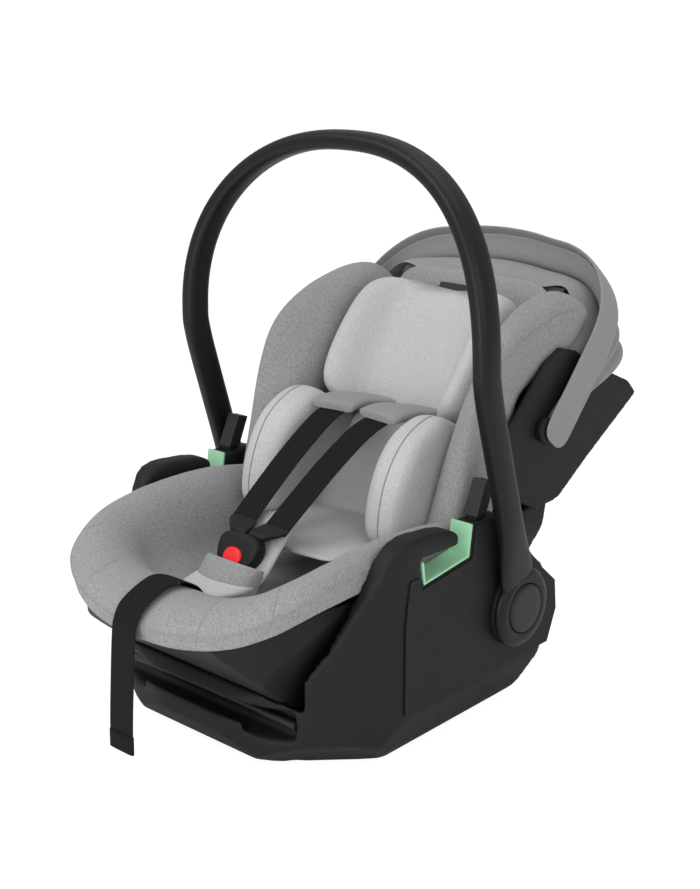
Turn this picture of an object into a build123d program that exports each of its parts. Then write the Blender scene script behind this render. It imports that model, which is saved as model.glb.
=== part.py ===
from build123d import *
import os
from math import copysign, cos, hypot, pi, radians, sin

# Infant car seat, millimetres. +Z up, +X to the sitter's left, the sitter faces -Y.
# Origin: middle of the flat face under the base.

# Fits
TOUCH_GAP = 0.3
PIN_GAP = 0.05
SLIDE_GAP = 0.6

# Handle and its hubs
PIVOT_Y, PIVOT_Z = 110.0, 121.0
PIN_RADIUS = 8.0
BOSS_RADIUS, BOSS_THICK = 43.0, 5.6
HUB_RADIUS, HUB_THICK, HUB_FLOOR = 44.0, 9.0, 3.5
BUTTON_RADIUS, BUTTON_THICK, BUTTON_TRAVEL = 27.0, 4.0, 3.0
LEG_THICK, LEG_DEPTH = 21.0, 34.0
HANDLE_KNEE_Y, HANDLE_KNEE_Z = 33.0, 379.0
HANDLE_TOP_Y, HANDLE_TOP_Z = 72.0, 616.0
HANDLE_BOW_Y, HANDLE_BOW_Z = 35.0, 465.0
ARCH_START_Z, ARCH_SQUARE, ARCH_STEPS = 390.0, 2.3, 48

# Base
BASE_HALF, ARM_THICK = 197.0, 27.0
ARM_INNER = BASE_HALF - ARM_THICK
PANEL_THICK = 1.4
LEG_CLEARANCE = 4.0
BASE_FRONT, BASE_BACK = -186.0, 200.0
FLOOR_FRONT, FLOOR_BACK = -150.0, 114.0
FLOOR_HALF, CHAMFER_TOP = 178.0, 52.0
ARM_TOP = 233.0
GUIDE_THICK = 2.6
LATCH_RADIUS = 5.0
LIP_TOP, POCKET_FLOOR, POCKET_TOP, POCKET_BACK = 50.0, 38.0, 70.0, -150.0
LIP_THICK, POCKET_HALF = 8.0, 128.0

# Recline: the bucket's round underside turns in the round trough of the base
TROUGH_RADIUS, TROUGH_FLOOR, TROUGH_WALL = 312.0, 18.0, 6.0
RECLINE_Y, RECLINE_Z = 20.0, TROUGH_RADIUS + TROUGH_FLOOR
RUNNING_GAP = 0.4
BUCKET_RADIUS = TROUGH_RADIUS - RUNNING_GAP

# Seat bucket and back shell
SHELL_HALF, SHELL_WALL = ARM_INNER - 1.5, 5.5
BUCKET_HALF, BUCKET_WALL = SHELL_HALF - 13.5, 5.0
RIM_HALF, RIM_FRONT, RIM_CROWN = ARM_INNER - 4.0, -262.0, 232.0
RIM_ROUND = 36.0

# Backrest frame: s runs up the back from its foot, t stands off it
BACK_FOOT_Y, BACK_FOOT_Z = 126.0, 150.0
BACK_TOP_Y, BACK_TOP_Z = 302.0, 428.0
PAD_HALF, BACK_PAD_THICK = 118.0, 18.0
WING_INNER, WING_OUTER = PAD_HALF + RUNNING_GAP, SHELL_HALF - SHELL_WALL - RUNNING_GAP
HEADREST_HALF, HEADREST_LOW, HEADREST_HIGH = 108.0, 130.0, 289.0
HEADREST_PLATE, HEADREST_PAD, EAR_INNER = 4.6, 30.0, 72.0

# Harness
WEB_WIDTH, WEB_THICK = 38.0, 1.6
PAD_THICK = 7.0
STRAP_INNER = 20.0
BUCKLE_HALF = 31.0

# Canopy
CANOPY_Y, CANOPY_Z = 194.0, 294.0
CANOPY_HALF, CANOPY_REACH, CANOPY_SHEET = SHELL_HALF + 6.5, 232.0, 5.0
CANOPY_EYE, CANOPY_CORNER = 15.0, 84.0
BOW_ANGLE, CLOTH_GAP = 3.0, 0.3
REAR_BOW_AT, MID_BOW_AT, FRONT_BOW_AT = 20.0, 33.0, 47.0

PARTS = {}


def outline(points, radius=0.0):
    """Closed face through the points, its corners rounded."""
    face = make_face(Polyline(*points, close=True))
    return fillet(face.vertices(), radius) if radius else face


def side_prism(points, x_low, x_high, radius=0.0):
    """Solid with the (y, z) outline between two x planes."""
    return extrude(Plane.YZ.offset(x_low) * outline(points, radius), amount=x_high - x_low)


def plan_prism(points, z_low, z_high, radius=0.0):
    """Solid with the (x, y) outline between two heights."""
    return extrude(Plane.XY.offset(z_low) * outline(points, radius), amount=z_high - z_low)


def front_prism(points, y_low, y_high, radius=0.0):
    """Solid with the (x, z) outline between two y planes."""
    plane = Plane(origin=(0, y_high, 0), x_dir=(1, 0, 0), z_dir=(0, -1, 0))
    return extrude(plane * outline(points, radius), amount=y_high - y_low)


def mirrored(points):
    """The points followed by their mirror images about x = 0."""
    return points + [(-x, v) for x, v in reversed(points)]


def eased(points):
    """The points with each corner cut twice, so that the run bends smoothly between its fixed ends."""
    for _ in range(2):
        cut = [points[0]]
        for (a, b), (c, d) in zip(points, points[1:]):
            cut += [(0.75 * a + 0.25 * c, 0.75 * b + 0.25 * d), (0.25 * a + 0.75 * c, 0.25 * b + 0.75 * d)]
        points = cut + [points[-1]]
    return points


def x_rod(radius, x_low, x_high, y, z):
    """Round bar along X."""
    plane = Plane(origin=(x_low, y, z), x_dir=(0, 1, 0), z_dir=(1, 0, 0))
    return extrude(plane * Circle(radius), amount=x_high - x_low)


def both(name, solid):
    """Keeps a piece for the right side and its mirror image for the left."""
    PARTS[name + "_right"] = solid
    PARTS[name + "_left"] = mirror(solid, about=Plane.YZ)


BACK_LENGTH = hypot(BACK_TOP_Y - BACK_FOOT_Y, BACK_TOP_Z - BACK_FOOT_Z)
UP_Y = (BACK_TOP_Y - BACK_FOOT_Y) / BACK_LENGTH
UP_Z = (BACK_TOP_Z - BACK_FOOT_Z) / BACK_LENGTH


def on_back(*pairs):
    """(y, z) points from (s, t) points of the backrest frame."""
    return [
        (BACK_FOOT_Y + s * UP_Y - t * UP_Z, BACK_FOOT_Z + s * UP_Z + t * UP_Y) for s, t in pairs
    ]


def ribbon(points, thickness):
    """(y, z) outline of a strap of the given thickness whose underside follows the points."""
    upper = []
    for i, (y, z) in enumerate(points):
        before, after = points[max(i - 1, 0)], points[min(i + 1, len(points) - 1)]
        run_y, run_z = after[0] - before[0], after[1] - before[1]
        length = hypot(run_y, run_z)
        upper.append((y + run_z / length * thickness, z - run_y / length * thickness))
    return points + upper[::-1]


# Base tub with its two arms
HOOK = [(14, 214.5), (17, 226), (2, 236), (-57, 242), (-80, 236), (-92, 221)]
GUIDE_OUTER = [(35.5, ARM_TOP), (30.5, 198.3), (-42.6, 189.2), (-45.53, 214)]
GUIDE_END = [(-46, 218)]
GUIDE_INNER = [(-45.53 + GUIDE_THICK, 214), (-40, 192), (28, 201), (35.5 - GUIDE_THICK, ARM_TOP)]
NOSE_ROUND, SIDE_ROUND = 80.0, 28.0
NOSE_INSET = [(152, 0), (95, 13), (55, 34), (23, 66), (0, 108)]
TROUGH_INSET = [(45, -34), (42, 21), (30, 38), (10, 64), (0, 102)]
SWOOP = [(-100, 202), (-118, 175), (-146, 116), (-172, 88), (BASE_FRONT, 66)]
BASE_HEEL = [(141, 7), (171, 48), (196, 89), (192, 130), (150, 165), (92, 228), (74, ARM_TOP)]
LEVER_X, LEVER_Y = BASE_HALF - ARM_THICK / 2, 55.0
LEVER_WIDTH, LEVER_DEPTH, LEVER_SLOT_FLOOR = 12.0, 14.0, 205.0


def base_tub():
    """Tub whose trough carries the bucket, with the belt hooks on its two arms."""
    side = [(FLOOR_FRONT, 0), (FLOOR_BACK, 0)] + BASE_HEEL + GUIDE_OUTER + GUIDE_END + eased(HOOK + SWOOP)
    side += [(BASE_FRONT, 30), (BASE_FRONT + 14, 8)]
    body = side_prism(side, -BASE_HALF, BASE_HALF)
    nose = [(BASE_HALF - x, BASE_FRONT + y) for x, y in NOSE_INSET]
    body &= plan_prism(mirrored(nose + [(BASE_HALF, BASE_BACK + 120)]), -1, ARM_TOP + 40, NOSE_ROUND)
    tail = [(BASE_HALF, BASE_FRONT - 40), (BASE_HALF, BASE_BACK - 35), (ARM_INNER, BASE_BACK)]
    body &= plan_prism(mirrored(tail), -1, ARM_TOP + 40, SIDE_ROUND)
    body &= front_prism(
        mirrored([(FLOOR_HALF, 0), (BASE_HALF, CHAMFER_TOP), (BASE_HALF, ARM_TOP + 80)]),
        BASE_FRONT - 20, BASE_BACK + 20, SIDE_ROUND)
    toe = Plane(origin=(BASE_HALF - 69, BASE_FRONT + 68, 0), z_dir=(0.5, -0.5, -0.707))
    trough = x_rod(TROUGH_RADIUS, -ARM_INNER, ARM_INNER, RECLINE_Y, RECLINE_Z)
    inner = [(ARM_INNER - x, BASE_FRONT + y) for x, y in TROUGH_INSET]
    inner.append((ARM_INNER, BASE_BACK + 40))
    body -= trough & plan_prism(mirrored(inner), 0, 2 * TROUGH_RADIUS)
    pocket = [
        (BASE_FRONT - 10, LIP_TOP), (BASE_FRONT + LIP_THICK, LIP_TOP),
        (BASE_FRONT + LIP_THICK, POCKET_FLOOR), (POCKET_BACK, POCKET_FLOOR),
        (POCKET_BACK, POCKET_TOP), (BASE_FRONT - 10, POCKET_TOP)]
    body -= side_prism(pocket, -POCKET_HALF, POCKET_HALF)
    underside = x_rod(TROUGH_RADIUS + TROUGH_WALL, -ARM_INNER, ARM_INNER, RECLINE_Y, RECLINE_Z)
    for y_low, y_high, top in [(-138, -62, POCKET_FLOOR - TROUGH_WALL), (96, 150, 60)]:
        body -= Pos(0, (y_low + y_high) / 2, top / 2) * Box(220, y_high - y_low, top) - underside
    slot = Pos(LEVER_X, LEVER_Y, (ARM_TOP + LEVER_SLOT_FLOOR) / 2 + 5) * Box(
        LEVER_WIDTH + 2 * SLIDE_GAP, LEVER_DEPTH + 2 * SLIDE_GAP, ARM_TOP - LEVER_SLOT_FLOOR + 10)
    bore = x_rod(PIN_RADIUS + PIN_GAP, ARM_INNER - 1, BASE_HALF + 1, PIVOT_Y, PIVOT_Z)
    for cut in (slot, bore, extrude(toe * Rectangle(400, 400), amount=150)):
        body -= cut
        body -= mirror(cut, about=Plane.YZ)
    return body


PANEL_FACE = BASE_HALF + PANEL_THICK
BOSS_FACE = PANEL_FACE + BOSS_THICK


def base_pieces():
    """Base tub, outer panels, belt guides, latch bars and hub bosses."""
    PARTS["base_tub"] = base_tub()
    panel = [(-64, 200), (-68, 176), (-71, 150), (-71, CHAMFER_TOP + 4), (176, CHAMFER_TOP + 4),
             (191, 92), (187, 127), (148, 161), (90, 224), (74, ARM_TOP - 3), (40, ARM_TOP - 3),
             (34, 195.5), (-47, 185.5), (-51, 200)]
    bore = x_rod(PIN_RADIUS + PIN_GAP, BASE_HALF - 1, BOSS_FACE + 1, PIVOT_Y, PIVOT_Z)
    both("side_panel", side_prism(panel, BASE_HALF, PANEL_FACE) - bore)
    both("hub_boss", x_rod(BOSS_RADIUS, PANEL_FACE, BOSS_FACE, PIVOT_Y, PIVOT_Z) - bore)
    both("belt_guide", side_prism(GUIDE_OUTER + GUIDE_INNER, ARM_INNER, BASE_HALF))
    pin_end = BOSS_FACE + TOUCH_GAP + HUB_FLOOR - 1
    both("handle_pivot_pin",
         x_rod(PIN_RADIUS, ARM_INNER, pin_end, PIVOT_Y, PIVOT_Z))
    bar_y, bar_z = POCKET_BACK - LATCH_RADIUS, (POCKET_FLOOR + POCKET_TOP) / 2
    PARTS["front_latch_bar"] = x_rod(LATCH_RADIUS, -POCKET_HALF, POCKET_HALF, bar_y, bar_z)


def release_levers():
    """Grey pull-up levers standing in the arm tops."""
    stem_top = ARM_TOP + 3
    half = LEVER_DEPTH / 2
    stem = Pos(LEVER_X, LEVER_Y, (stem_top + LEVER_SLOT_FLOOR) / 2 + 3) * Box(
        LEVER_WIDTH, LEVER_DEPTH, stem_top - LEVER_SLOT_FLOOR - 6)
    grip = [(LEVER_Y - half - 2, stem_top), (LEVER_Y + half + 2, stem_top),
            (LEVER_Y + half + 16, stem_top + 32), (LEVER_Y + 8, stem_top + 36)]
    both("release_lever", stem + side_prism(grip, LEVER_X - 9, LEVER_X + 9))


# Handle
def handle_pieces():
    """Bowed handle arch, its two hubs and their push buttons."""
    leg_inner = BASE_HALF + LEG_CLEARANCE
    leg_outer = leg_inner + LEG_THICK
    rise = HANDLE_TOP_Z - ARCH_START_Z

    def arch(half, height, foot):
        crown = []
        for step in range(ARCH_STEPS + 1):
            across, up = cos(pi * step / ARCH_STEPS), sin(pi * step / ARCH_STEPS)
            crown.append((half * copysign(abs(across) ** (2 / ARCH_SQUARE), across),
                          ARCH_START_Z + height * abs(up) ** (2 / ARCH_SQUARE)))
        return make_face(Polyline(*crown, (-half, foot), (half, foot), close=True))

    band = arch(leg_outer, rise, PIVOT_Z) - arch(leg_inner, rise - LEG_THICK - 2, PIVOT_Z - 1)
    front_plane = Plane(origin=(0, 300, 0), x_dir=(1, 0, 0), z_dir=(0, -1, 0))
    half = LEG_DEPTH / 2

    def edge(offset):
        knee, top = (HANDLE_KNEE_Y + offset, HANDLE_KNEE_Z), (HANDLE_TOP_Y + offset, HANDLE_TOP_Z + 4)
        bow = (HANDLE_BOW_Y + offset, HANDLE_BOW_Z)
        return Line((PIVOT_Y + offset, PIVOT_Z), knee), ThreePointArc(knee, bow, top)

    front_leg, front_bow = edge(-half)
    rear_leg, rear_bow = edge(half)
    profile = make_face([front_leg, front_bow, Line(front_bow @ 1, rear_bow @ 1), rear_bow, rear_leg,
                         Line(rear_leg @ 0, front_leg @ 0)])
    arch_solid = extrude(front_plane * band, amount=600) & extrude(
        Plane.YZ.offset(-leg_outer) * profile, amount=2 * leg_outer)
    hub_back = BOSS_FACE + TOUCH_GAP
    hub_face = hub_back + HUB_THICK
    whole_hub = x_rod(HUB_RADIUS, leg_inner - 1, leg_outer + 1, PIVOT_Y, PIVOT_Z)
    PARTS["handle_arch"] = arch_solid - whole_hub - mirror(whole_hub, about=Plane.YZ)
    hub = x_rod(HUB_RADIUS, hub_back, hub_face, PIVOT_Y, PIVOT_Z)
    hub -= x_rod(PIN_RADIUS + PIN_GAP, hub_back - 1, hub_back + HUB_FLOOR - 0.5, PIVOT_Y, PIVOT_Z)
    hub -= x_rod(BUTTON_RADIUS + TOUCH_GAP, hub_back + HUB_FLOOR, hub_face + 1, PIVOT_Y, PIVOT_Z)
    both("handle_hub", hub)
    button_back = hub_back + HUB_FLOOR + BUTTON_TRAVEL + TOUCH_GAP
    both("hub_button", x_rod(BUTTON_RADIUS, button_back, button_back + BUTTON_THICK, PIVOT_Y, PIVOT_Z))


# Seat bucket
BUCKET_TOP = [(231, 204), (150, 198), (60, 180), (-60, 178), (-150, 180), (-215, 166), (-252, 145)]
BUCKET_ROUND = 50.0
BUCKET_KEEL = [(-207, 108), (-150, 60), (-60, 10), (120, 10), (214, 119)]


def bucket_form(inset):
    """Outer form of the bucket, or of its hollow when inset by the wall."""
    lift = inset * 1.5
    keel = [(y + (inset if y < 0 else -inset), z + inset) for y, z in BUCKET_KEEL]
    top = [(y, z + (1 if inset else 0)) for y, z in BUCKET_TOP[1:-1]]
    rear, front = BUCKET_TOP[0], BUCKET_TOP[-1]
    top = [(rear[0] - inset, rear[1] + lift)] + top + [(front[0] + inset, front[1] + lift)]
    form = side_prism(keel + top, -BUCKET_HALF, BUCKET_HALF)
    half = BUCKET_HALF - inset
    turn = BUCKET_ROUND - inset
    flank = [(half - 55, inset), (half - 37, 90), (half, 170), (half, 400)]
    form &= front_prism(mirrored(flank), -300, 300, turn)
    bow = [(70 - inset, -252 + inset), (135 - inset, -205 + inset), (half, -110), (half, 400)]
    form &= plan_prism(mirrored(bow), 0, 300, turn)
    return form & x_rod(BUCKET_RADIUS - inset, -BUCKET_HALF, BUCKET_HALF, RECLINE_Y, RECLINE_Z)


SEAT_LINE = [(-190, 164), (-150, 146), (-110, 138), (-40, 128), (40, 128), (78, 146)]


def bucket_pieces():
    """Hard bucket, the foam that fills it and the soft seat pad on the foam."""
    PARTS["seat_bucket"] = bucket_form(0) - bucket_form(BUCKET_WALL)
    under_pad = [(-240, 0), (-240, 150)] + SEAT_LINE + [(200, 150), (200, 0)]
    PARTS["foam_liner"] = bucket_form(BUCKET_WALL + TOUCH_GAP) & side_prism(under_pad, -112, 112)
    pad = SEAT_LINE + [(y, z + 10 + TOUCH_GAP) for y, z in reversed(SEAT_LINE)]
    pad = [(y, z + TOUCH_GAP) for y, z in pad]
    plan = mirrored([(55, -181), (99, -149), (107, -115), (107, 80)])
    PARTS["seat_pad"] = side_prism(pad, -108, 108) & plan_prism(plan, 100, 200)


# Back shell and side wings
SHELL_OUTLINE = [
    (231.5, 204.5), (286, 239), (387, 297.4), (368, 316), (290, 350), (255, 372), (225, 380), (196, 368),
    (124, 300), (142, 226), (190, 201.5)]
SHELL_HOLLOW = [
    (229, 214), (283, 245.5), (376, 299.3), (364, 318), (295, 360), (255, 385), (225, 395), (190, 385),
    (100, 300), (137, 232)]
FOAM_BACK = [(226.5, 215.1), (282, 245.3), (330, 273.1), (330, 345)]
WING_FOOT, WING_BACK = [(152, 242)], [(266, 425)]
WING_INNER_EDGE = [(44, 206), (70, 268), (98, 322), (119, 352), (148, 388), (186, 416), (219, 434)]
WING_OUTER_EDGE = [(48, 206), (61, 266), (73, 316), (84, 352), (106, 388), (149, 414), (214, 432)]


def back_shell():
    """Hard rear shell, open towards the sitter."""
    reach = SHELL_HALF - SHELL_WALL
    shell = side_prism(SHELL_OUTLINE, -SHELL_HALF, SHELL_HALF, 2) - side_prism(SHELL_HOLLOW, -reach, reach)
    room = on_back(
        (0, -TOUCH_GAP), (BACK_LENGTH, -TOUCH_GAP), (BACK_LENGTH, SHELL_HALF), (0, SHELL_HALF))
    return shell - side_prism(room, -PAD_HALF - TOUCH_GAP, PAD_HALF + TOUCH_GAP)


def back_pieces():
    """Rear shell, foam and pads of the backrest, and its side wings."""
    PARTS["back_shell"] = back_shell()
    foam = on_back((89.5, 0)) + FOAM_BACK + on_back((BACK_LENGTH, 0))
    PARTS["back_foam"] = side_prism(foam, -PAD_HALF, PAD_HALF)
    pad = on_back(
        (4, TOUCH_GAP), (BACK_LENGTH, TOUCH_GAP), (BACK_LENGTH, BACK_PAD_THICK), (12, BACK_PAD_THICK))
    PARTS["back_pad"] = side_prism(pad, -PAD_HALF, PAD_HALF)
    inner = outline(WING_INNER_EDGE + WING_BACK + WING_FOOT, 5)
    outer = outline(WING_OUTER_EDGE + WING_BACK + WING_FOOT, 5)
    faces = [Plane.YZ.offset(WING_INNER) * inner, Plane.YZ.offset(WING_OUTER) * outer]
    both("side_wing", loft(faces, ruled=True))


# Seat rim: drops are measured down from its crown, insets in from its widest half
RIM_DROPS = [(38, 6), (0, 1), (-105, 0), (-170, 9), (-213, 23), (-247, 45), (RIM_FRONT, 66)]
RIM_UNDER = [(RIM_FRONT, 147), (-252, 145), (-215, 166), (-150, 180), (-60, 178), (38, 179.5)]
RIM_DIP = [(0, 100), (0, 14), (6, 4), (20, -1), (36, 8), (56, 26), (88, 36), (126, 41)]
RIM_PLAN_INSET = [(94, RIM_FRONT), (38, -228), (12, -125), (0, -46), (0, 140)]
RIM_INNER = [(56, -182), (100, -150), (PAD_HALF, -80), (PAD_HALF, 60)]


def rim_piece():
    """Padded horseshoe rim that lies on the bucket's edge."""
    top = [(y, RIM_CROWN - drop) for y, drop in RIM_DROPS]
    band = side_prism(top + [(y, z + TOUCH_GAP) for y, z in RIM_UNDER], -RIM_HALF, RIM_HALF)
    outer = mirrored([(RIM_HALF - inset, y) for inset, y in RIM_PLAN_INSET])
    ring = plan_prism(outer, 100, 260, RIM_ROUND) - plan_prism(mirrored(RIM_INNER), 90, 270, 12)
    dip = mirrored([(RIM_HALF - inset, RIM_CROWN - drop) for inset, drop in RIM_DIP])
    PARTS["seat_rim"] = band & ring & front_prism(dip, RIM_FRONT - 10, 60)


def insert_piece():
    """Newborn insert: a back cushion with a raised lobe on each side."""
    rest = BACK_PAD_THICK + TOUCH_GAP
    cushion = side_prism(on_back((8, rest), (127, rest), (127, rest + 20), (8, rest + 22)), -74, 74)
    lobe = on_back((8, rest), (127, rest), (127, 112))
    lobe += [(54, 306), (24, 280), (8, 238), (4, 204), (16, 184), (60, 166)]
    lobe_solid = side_prism(lobe, 74, 112)
    PARTS["newborn_insert"] = cushion + lobe_solid + mirror(lobe_solid, about=Plane.YZ)


# Headrest
def headrest_pieces():
    """Headrest plate, pad with side ears, and the pull lever over its top."""
    low, high = HEADREST_LOW, HEADREST_HIGH
    back = BACK_PAD_THICK + TOUCH_GAP
    front = back + HEADREST_PLATE
    plate = on_back((low + 4, back), (high, back), (high, front), (low + 4, front))
    PARTS["headrest_plate"] = side_prism(plate, -HEADREST_HALF + 6, HEADREST_HALF - 6)
    face = front + TOUCH_GAP
    thick = HEADREST_PAD
    centre = on_back(
        (low, face), (high - 2, face), (high - 4, face + thick - 16), (high - 24, face + thick - 4),
        (low + 60, face + thick), (low + 14, face + thick), (low, face + thick - 14))
    pad = side_prism(centre, -EAR_INNER, EAR_INNER)
    ear = on_back(
        (low, face), (high - 2, face), (high - 4, face + 34), (high - 22, face + 56),
        (high - 48, face + 70), (low + 66, face + 76), (low + 22, face + 74), (low + 2, face + 52))
    ear_solid = side_prism(ear, EAR_INNER, HEADREST_HALF)
    PARTS["headrest_pad"] = pad + ear_solid + mirror(ear_solid, about=Plane.YZ)
    lever_low = high + TOUCH_GAP
    lever = on_back((lever_low, back), (high + 16, back), (high + 16, front + 6), (lever_low, front + 6))
    PARTS["headrest_lever"] = side_prism(lever, -34, 34)


# Harness
BUCKLE = [(-122, 176), (-104, 168), (-84, 205), (-101, 214)]
TONGUE, TONGUE_INNER = [(-100.5, 214.2), (-84, 205.4), (-76, 214), (-84, 219)], 6.0
CROTCH_HALF = 44.0
CROTCH_LINE = [
    (-150, 157), (-110, 149), (-96, 147), (-60, 190), (-38, 226), (-48, 232), (-81, 204), (-103, 167),
    (-124, 176), (-130, 186)]
PULL_LINE = [
    (-181.4, 178), (-181.4, 193), (-200, 192), (-239, 193), (-248.5, 186.5), (-263, 166.5), (-266, 145),
    (-272, 27)]


def on_buckle(*pairs):
    """(y, z) points from points along the buckle's face and out of it."""
    (low_y, low_z), (high_y, high_z) = BUCKLE[0], BUCKLE[-1]
    length = hypot(high_y - low_y, high_z - low_z)
    along_y, along_z = (high_y - low_y) / length, (high_z - low_z) / length
    return [(low_y + u * along_y - v * along_z, low_z + u * along_z + v * along_y) for u, v in pairs]


def harness_pieces():
    """Straps, shoulder pads, tongues, buckle, crotch pad and the front pull strap."""
    outer = STRAP_INNER + WEB_WIDTH
    shoulder = on_back((122, BACK_PAD_THICK + 21))[0]
    strap = [(-82, 212), (0, 262), (48, 291), (80, 300), (112, 298), shoulder]
    both("shoulder_strap", side_prism(ribbon(strap[::-1], WEB_THICK), STRAP_INNER, outer))
    pad = [(y, z + WEB_THICK + 0.6) for y, z in strap[2:]]
    both("shoulder_pad", side_prism(ribbon(pad[::-1], PAD_THICK), STRAP_INNER - 8, outer + 6))
    both("buckle_tongue", side_prism(TONGUE, TONGUE_INNER, STRAP_INNER - TOUCH_GAP))
    cup = on_buckle((5, -9), (23, -9), (23, 1), (5, 1))
    PARTS["buckle_housing"] = side_prism(BUCKLE, -BUCKLE_HALF, BUCKLE_HALF, 3) - side_prism(cup, -14, 14)
    button = on_buckle((5.4, -4), (22.6, -4), (22.6, 3), (5.4, 3))
    PARTS["buckle_button"] = side_prism(button, -13.6, 13.6)
    PARTS["crotch_pad"] = side_prism(CROTCH_LINE, -CROTCH_HALF, CROTCH_HALF)
    PARTS["adjuster_strap"] = side_prism(ribbon(PULL_LINE, WEB_THICK), -WEB_WIDTH / 2, WEB_WIDTH / 2)


# Canopy
def canopy_form(half, reach, thick, start, sweep):
    """Arched band turned about the canopy's pivot line through an angle."""
    def arch(wide, high):
        block = Pos(0, high / 2) * Rectangle(2 * wide, high)
        return fillet(block.vertices().sort_by(Axis.Y)[-2:], CANOPY_CORNER - half + wide)

    band = arch(half, reach) - arch(half - thick, reach - thick) - Rectangle(2 * half + 2, 2 * CANOPY_EYE)
    start_y, start_z = cos(radians(start)), sin(radians(start))
    plane = Plane(origin=(0, CANOPY_Y, CANOPY_Z), x_dir=(1, 0, 0), z_dir=(0, -start_z, start_y))
    return revolve(plane * band, Axis((0, CANOPY_Y, CANOPY_Z), (1, 0, 0)), sweep)


def canopy_pieces():
    """Pivot eyes, three bows and the two cloth panels between them."""
    bows = {"rear": REAR_BOW_AT, "mid": MID_BOW_AT, "front": FRONT_BOW_AT}
    for name, at in bows.items():
        PARTS[f"canopy_{name}_bow"] = canopy_form(CANOPY_HALF, CANOPY_REACH, CANOPY_SHEET, at, BOW_ANGLE)
    for name, low, high in (("rear", REAR_BOW_AT, MID_BOW_AT), ("front", MID_BOW_AT, FRONT_BOW_AT)):
        start, end = low + BOW_ANGLE + CLOTH_GAP, high - CLOTH_GAP
        PARTS[f"canopy_cloth_{name}"] = canopy_form(
            CANOPY_HALF, CANOPY_REACH, CANOPY_SHEET, start, end - start)
    both("canopy_pivot", x_rod(CANOPY_EYE - 1, SHELL_HALF, CANOPY_HALF + 2, CANOPY_Y, CANOPY_Z))


def main():
    """Builds every piece and writes one STEP file for each."""
    base_pieces()
    release_levers()
    handle_pieces()
    bucket_pieces()
    back_pieces()
    rim_piece()
    insert_piece()
    headrest_pieces()
    harness_pieces()
    canopy_pieces()
    os.makedirs("parts", exist_ok=True)
    for name, solid in PARTS.items():
        export_step(solid, f"parts/{name}.step")


main()
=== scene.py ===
"""Studio picture of an infant car seat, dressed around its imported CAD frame."""

import logging
import math
from dataclasses import dataclass
from enum import Enum
from typing import Sequence

import bpy
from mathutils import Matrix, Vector, noise


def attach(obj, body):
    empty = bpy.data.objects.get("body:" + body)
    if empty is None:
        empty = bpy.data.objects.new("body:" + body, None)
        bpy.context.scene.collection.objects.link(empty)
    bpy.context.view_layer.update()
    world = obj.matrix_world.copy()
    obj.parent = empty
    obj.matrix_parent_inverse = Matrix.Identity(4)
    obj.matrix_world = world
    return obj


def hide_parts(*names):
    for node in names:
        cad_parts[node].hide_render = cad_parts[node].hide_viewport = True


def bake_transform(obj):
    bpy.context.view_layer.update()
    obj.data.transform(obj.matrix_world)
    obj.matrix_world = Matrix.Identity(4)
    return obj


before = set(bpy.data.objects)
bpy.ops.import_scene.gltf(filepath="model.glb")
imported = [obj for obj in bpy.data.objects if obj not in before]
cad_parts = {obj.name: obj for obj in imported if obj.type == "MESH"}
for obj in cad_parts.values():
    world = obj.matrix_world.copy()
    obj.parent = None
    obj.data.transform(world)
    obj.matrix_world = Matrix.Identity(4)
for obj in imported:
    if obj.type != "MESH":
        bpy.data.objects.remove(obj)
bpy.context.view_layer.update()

LOG = logging.getLogger("scene")
MM = 0.001
Point = tuple[float, float, float]
Flat = tuple[float, float]


class Slot(Enum):
    """Material slots of the record."""

    BLACK = "black_plastic"
    HANDLE = "handle_plastic"
    GREEN = "green_plastic"
    SLATE = "slate_plastic"
    RED = "red_plastic"
    STEEL = "steel"
    FOAM = "foam"
    COVER = "cover_fabric"
    INSERT = "insert_fabric"
    PAD = "pad_fabric"
    CANOPY = "canopy_fabric"
    WEB = "webbing"


class Body(Enum):
    """CAD bodies that pieces ride on."""

    SEAT = "seat"
    HANDLE = "handle"
    HEADREST = "headrest"
    HUB_RIGHT = "hub_button_right"
    HUB_LEFT = "hub_button_left"
    BUCKLE = "buckle_button"
    CANOPY_MID = "canopy_mid"
    CANOPY_FRONT = "canopy_front"


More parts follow.
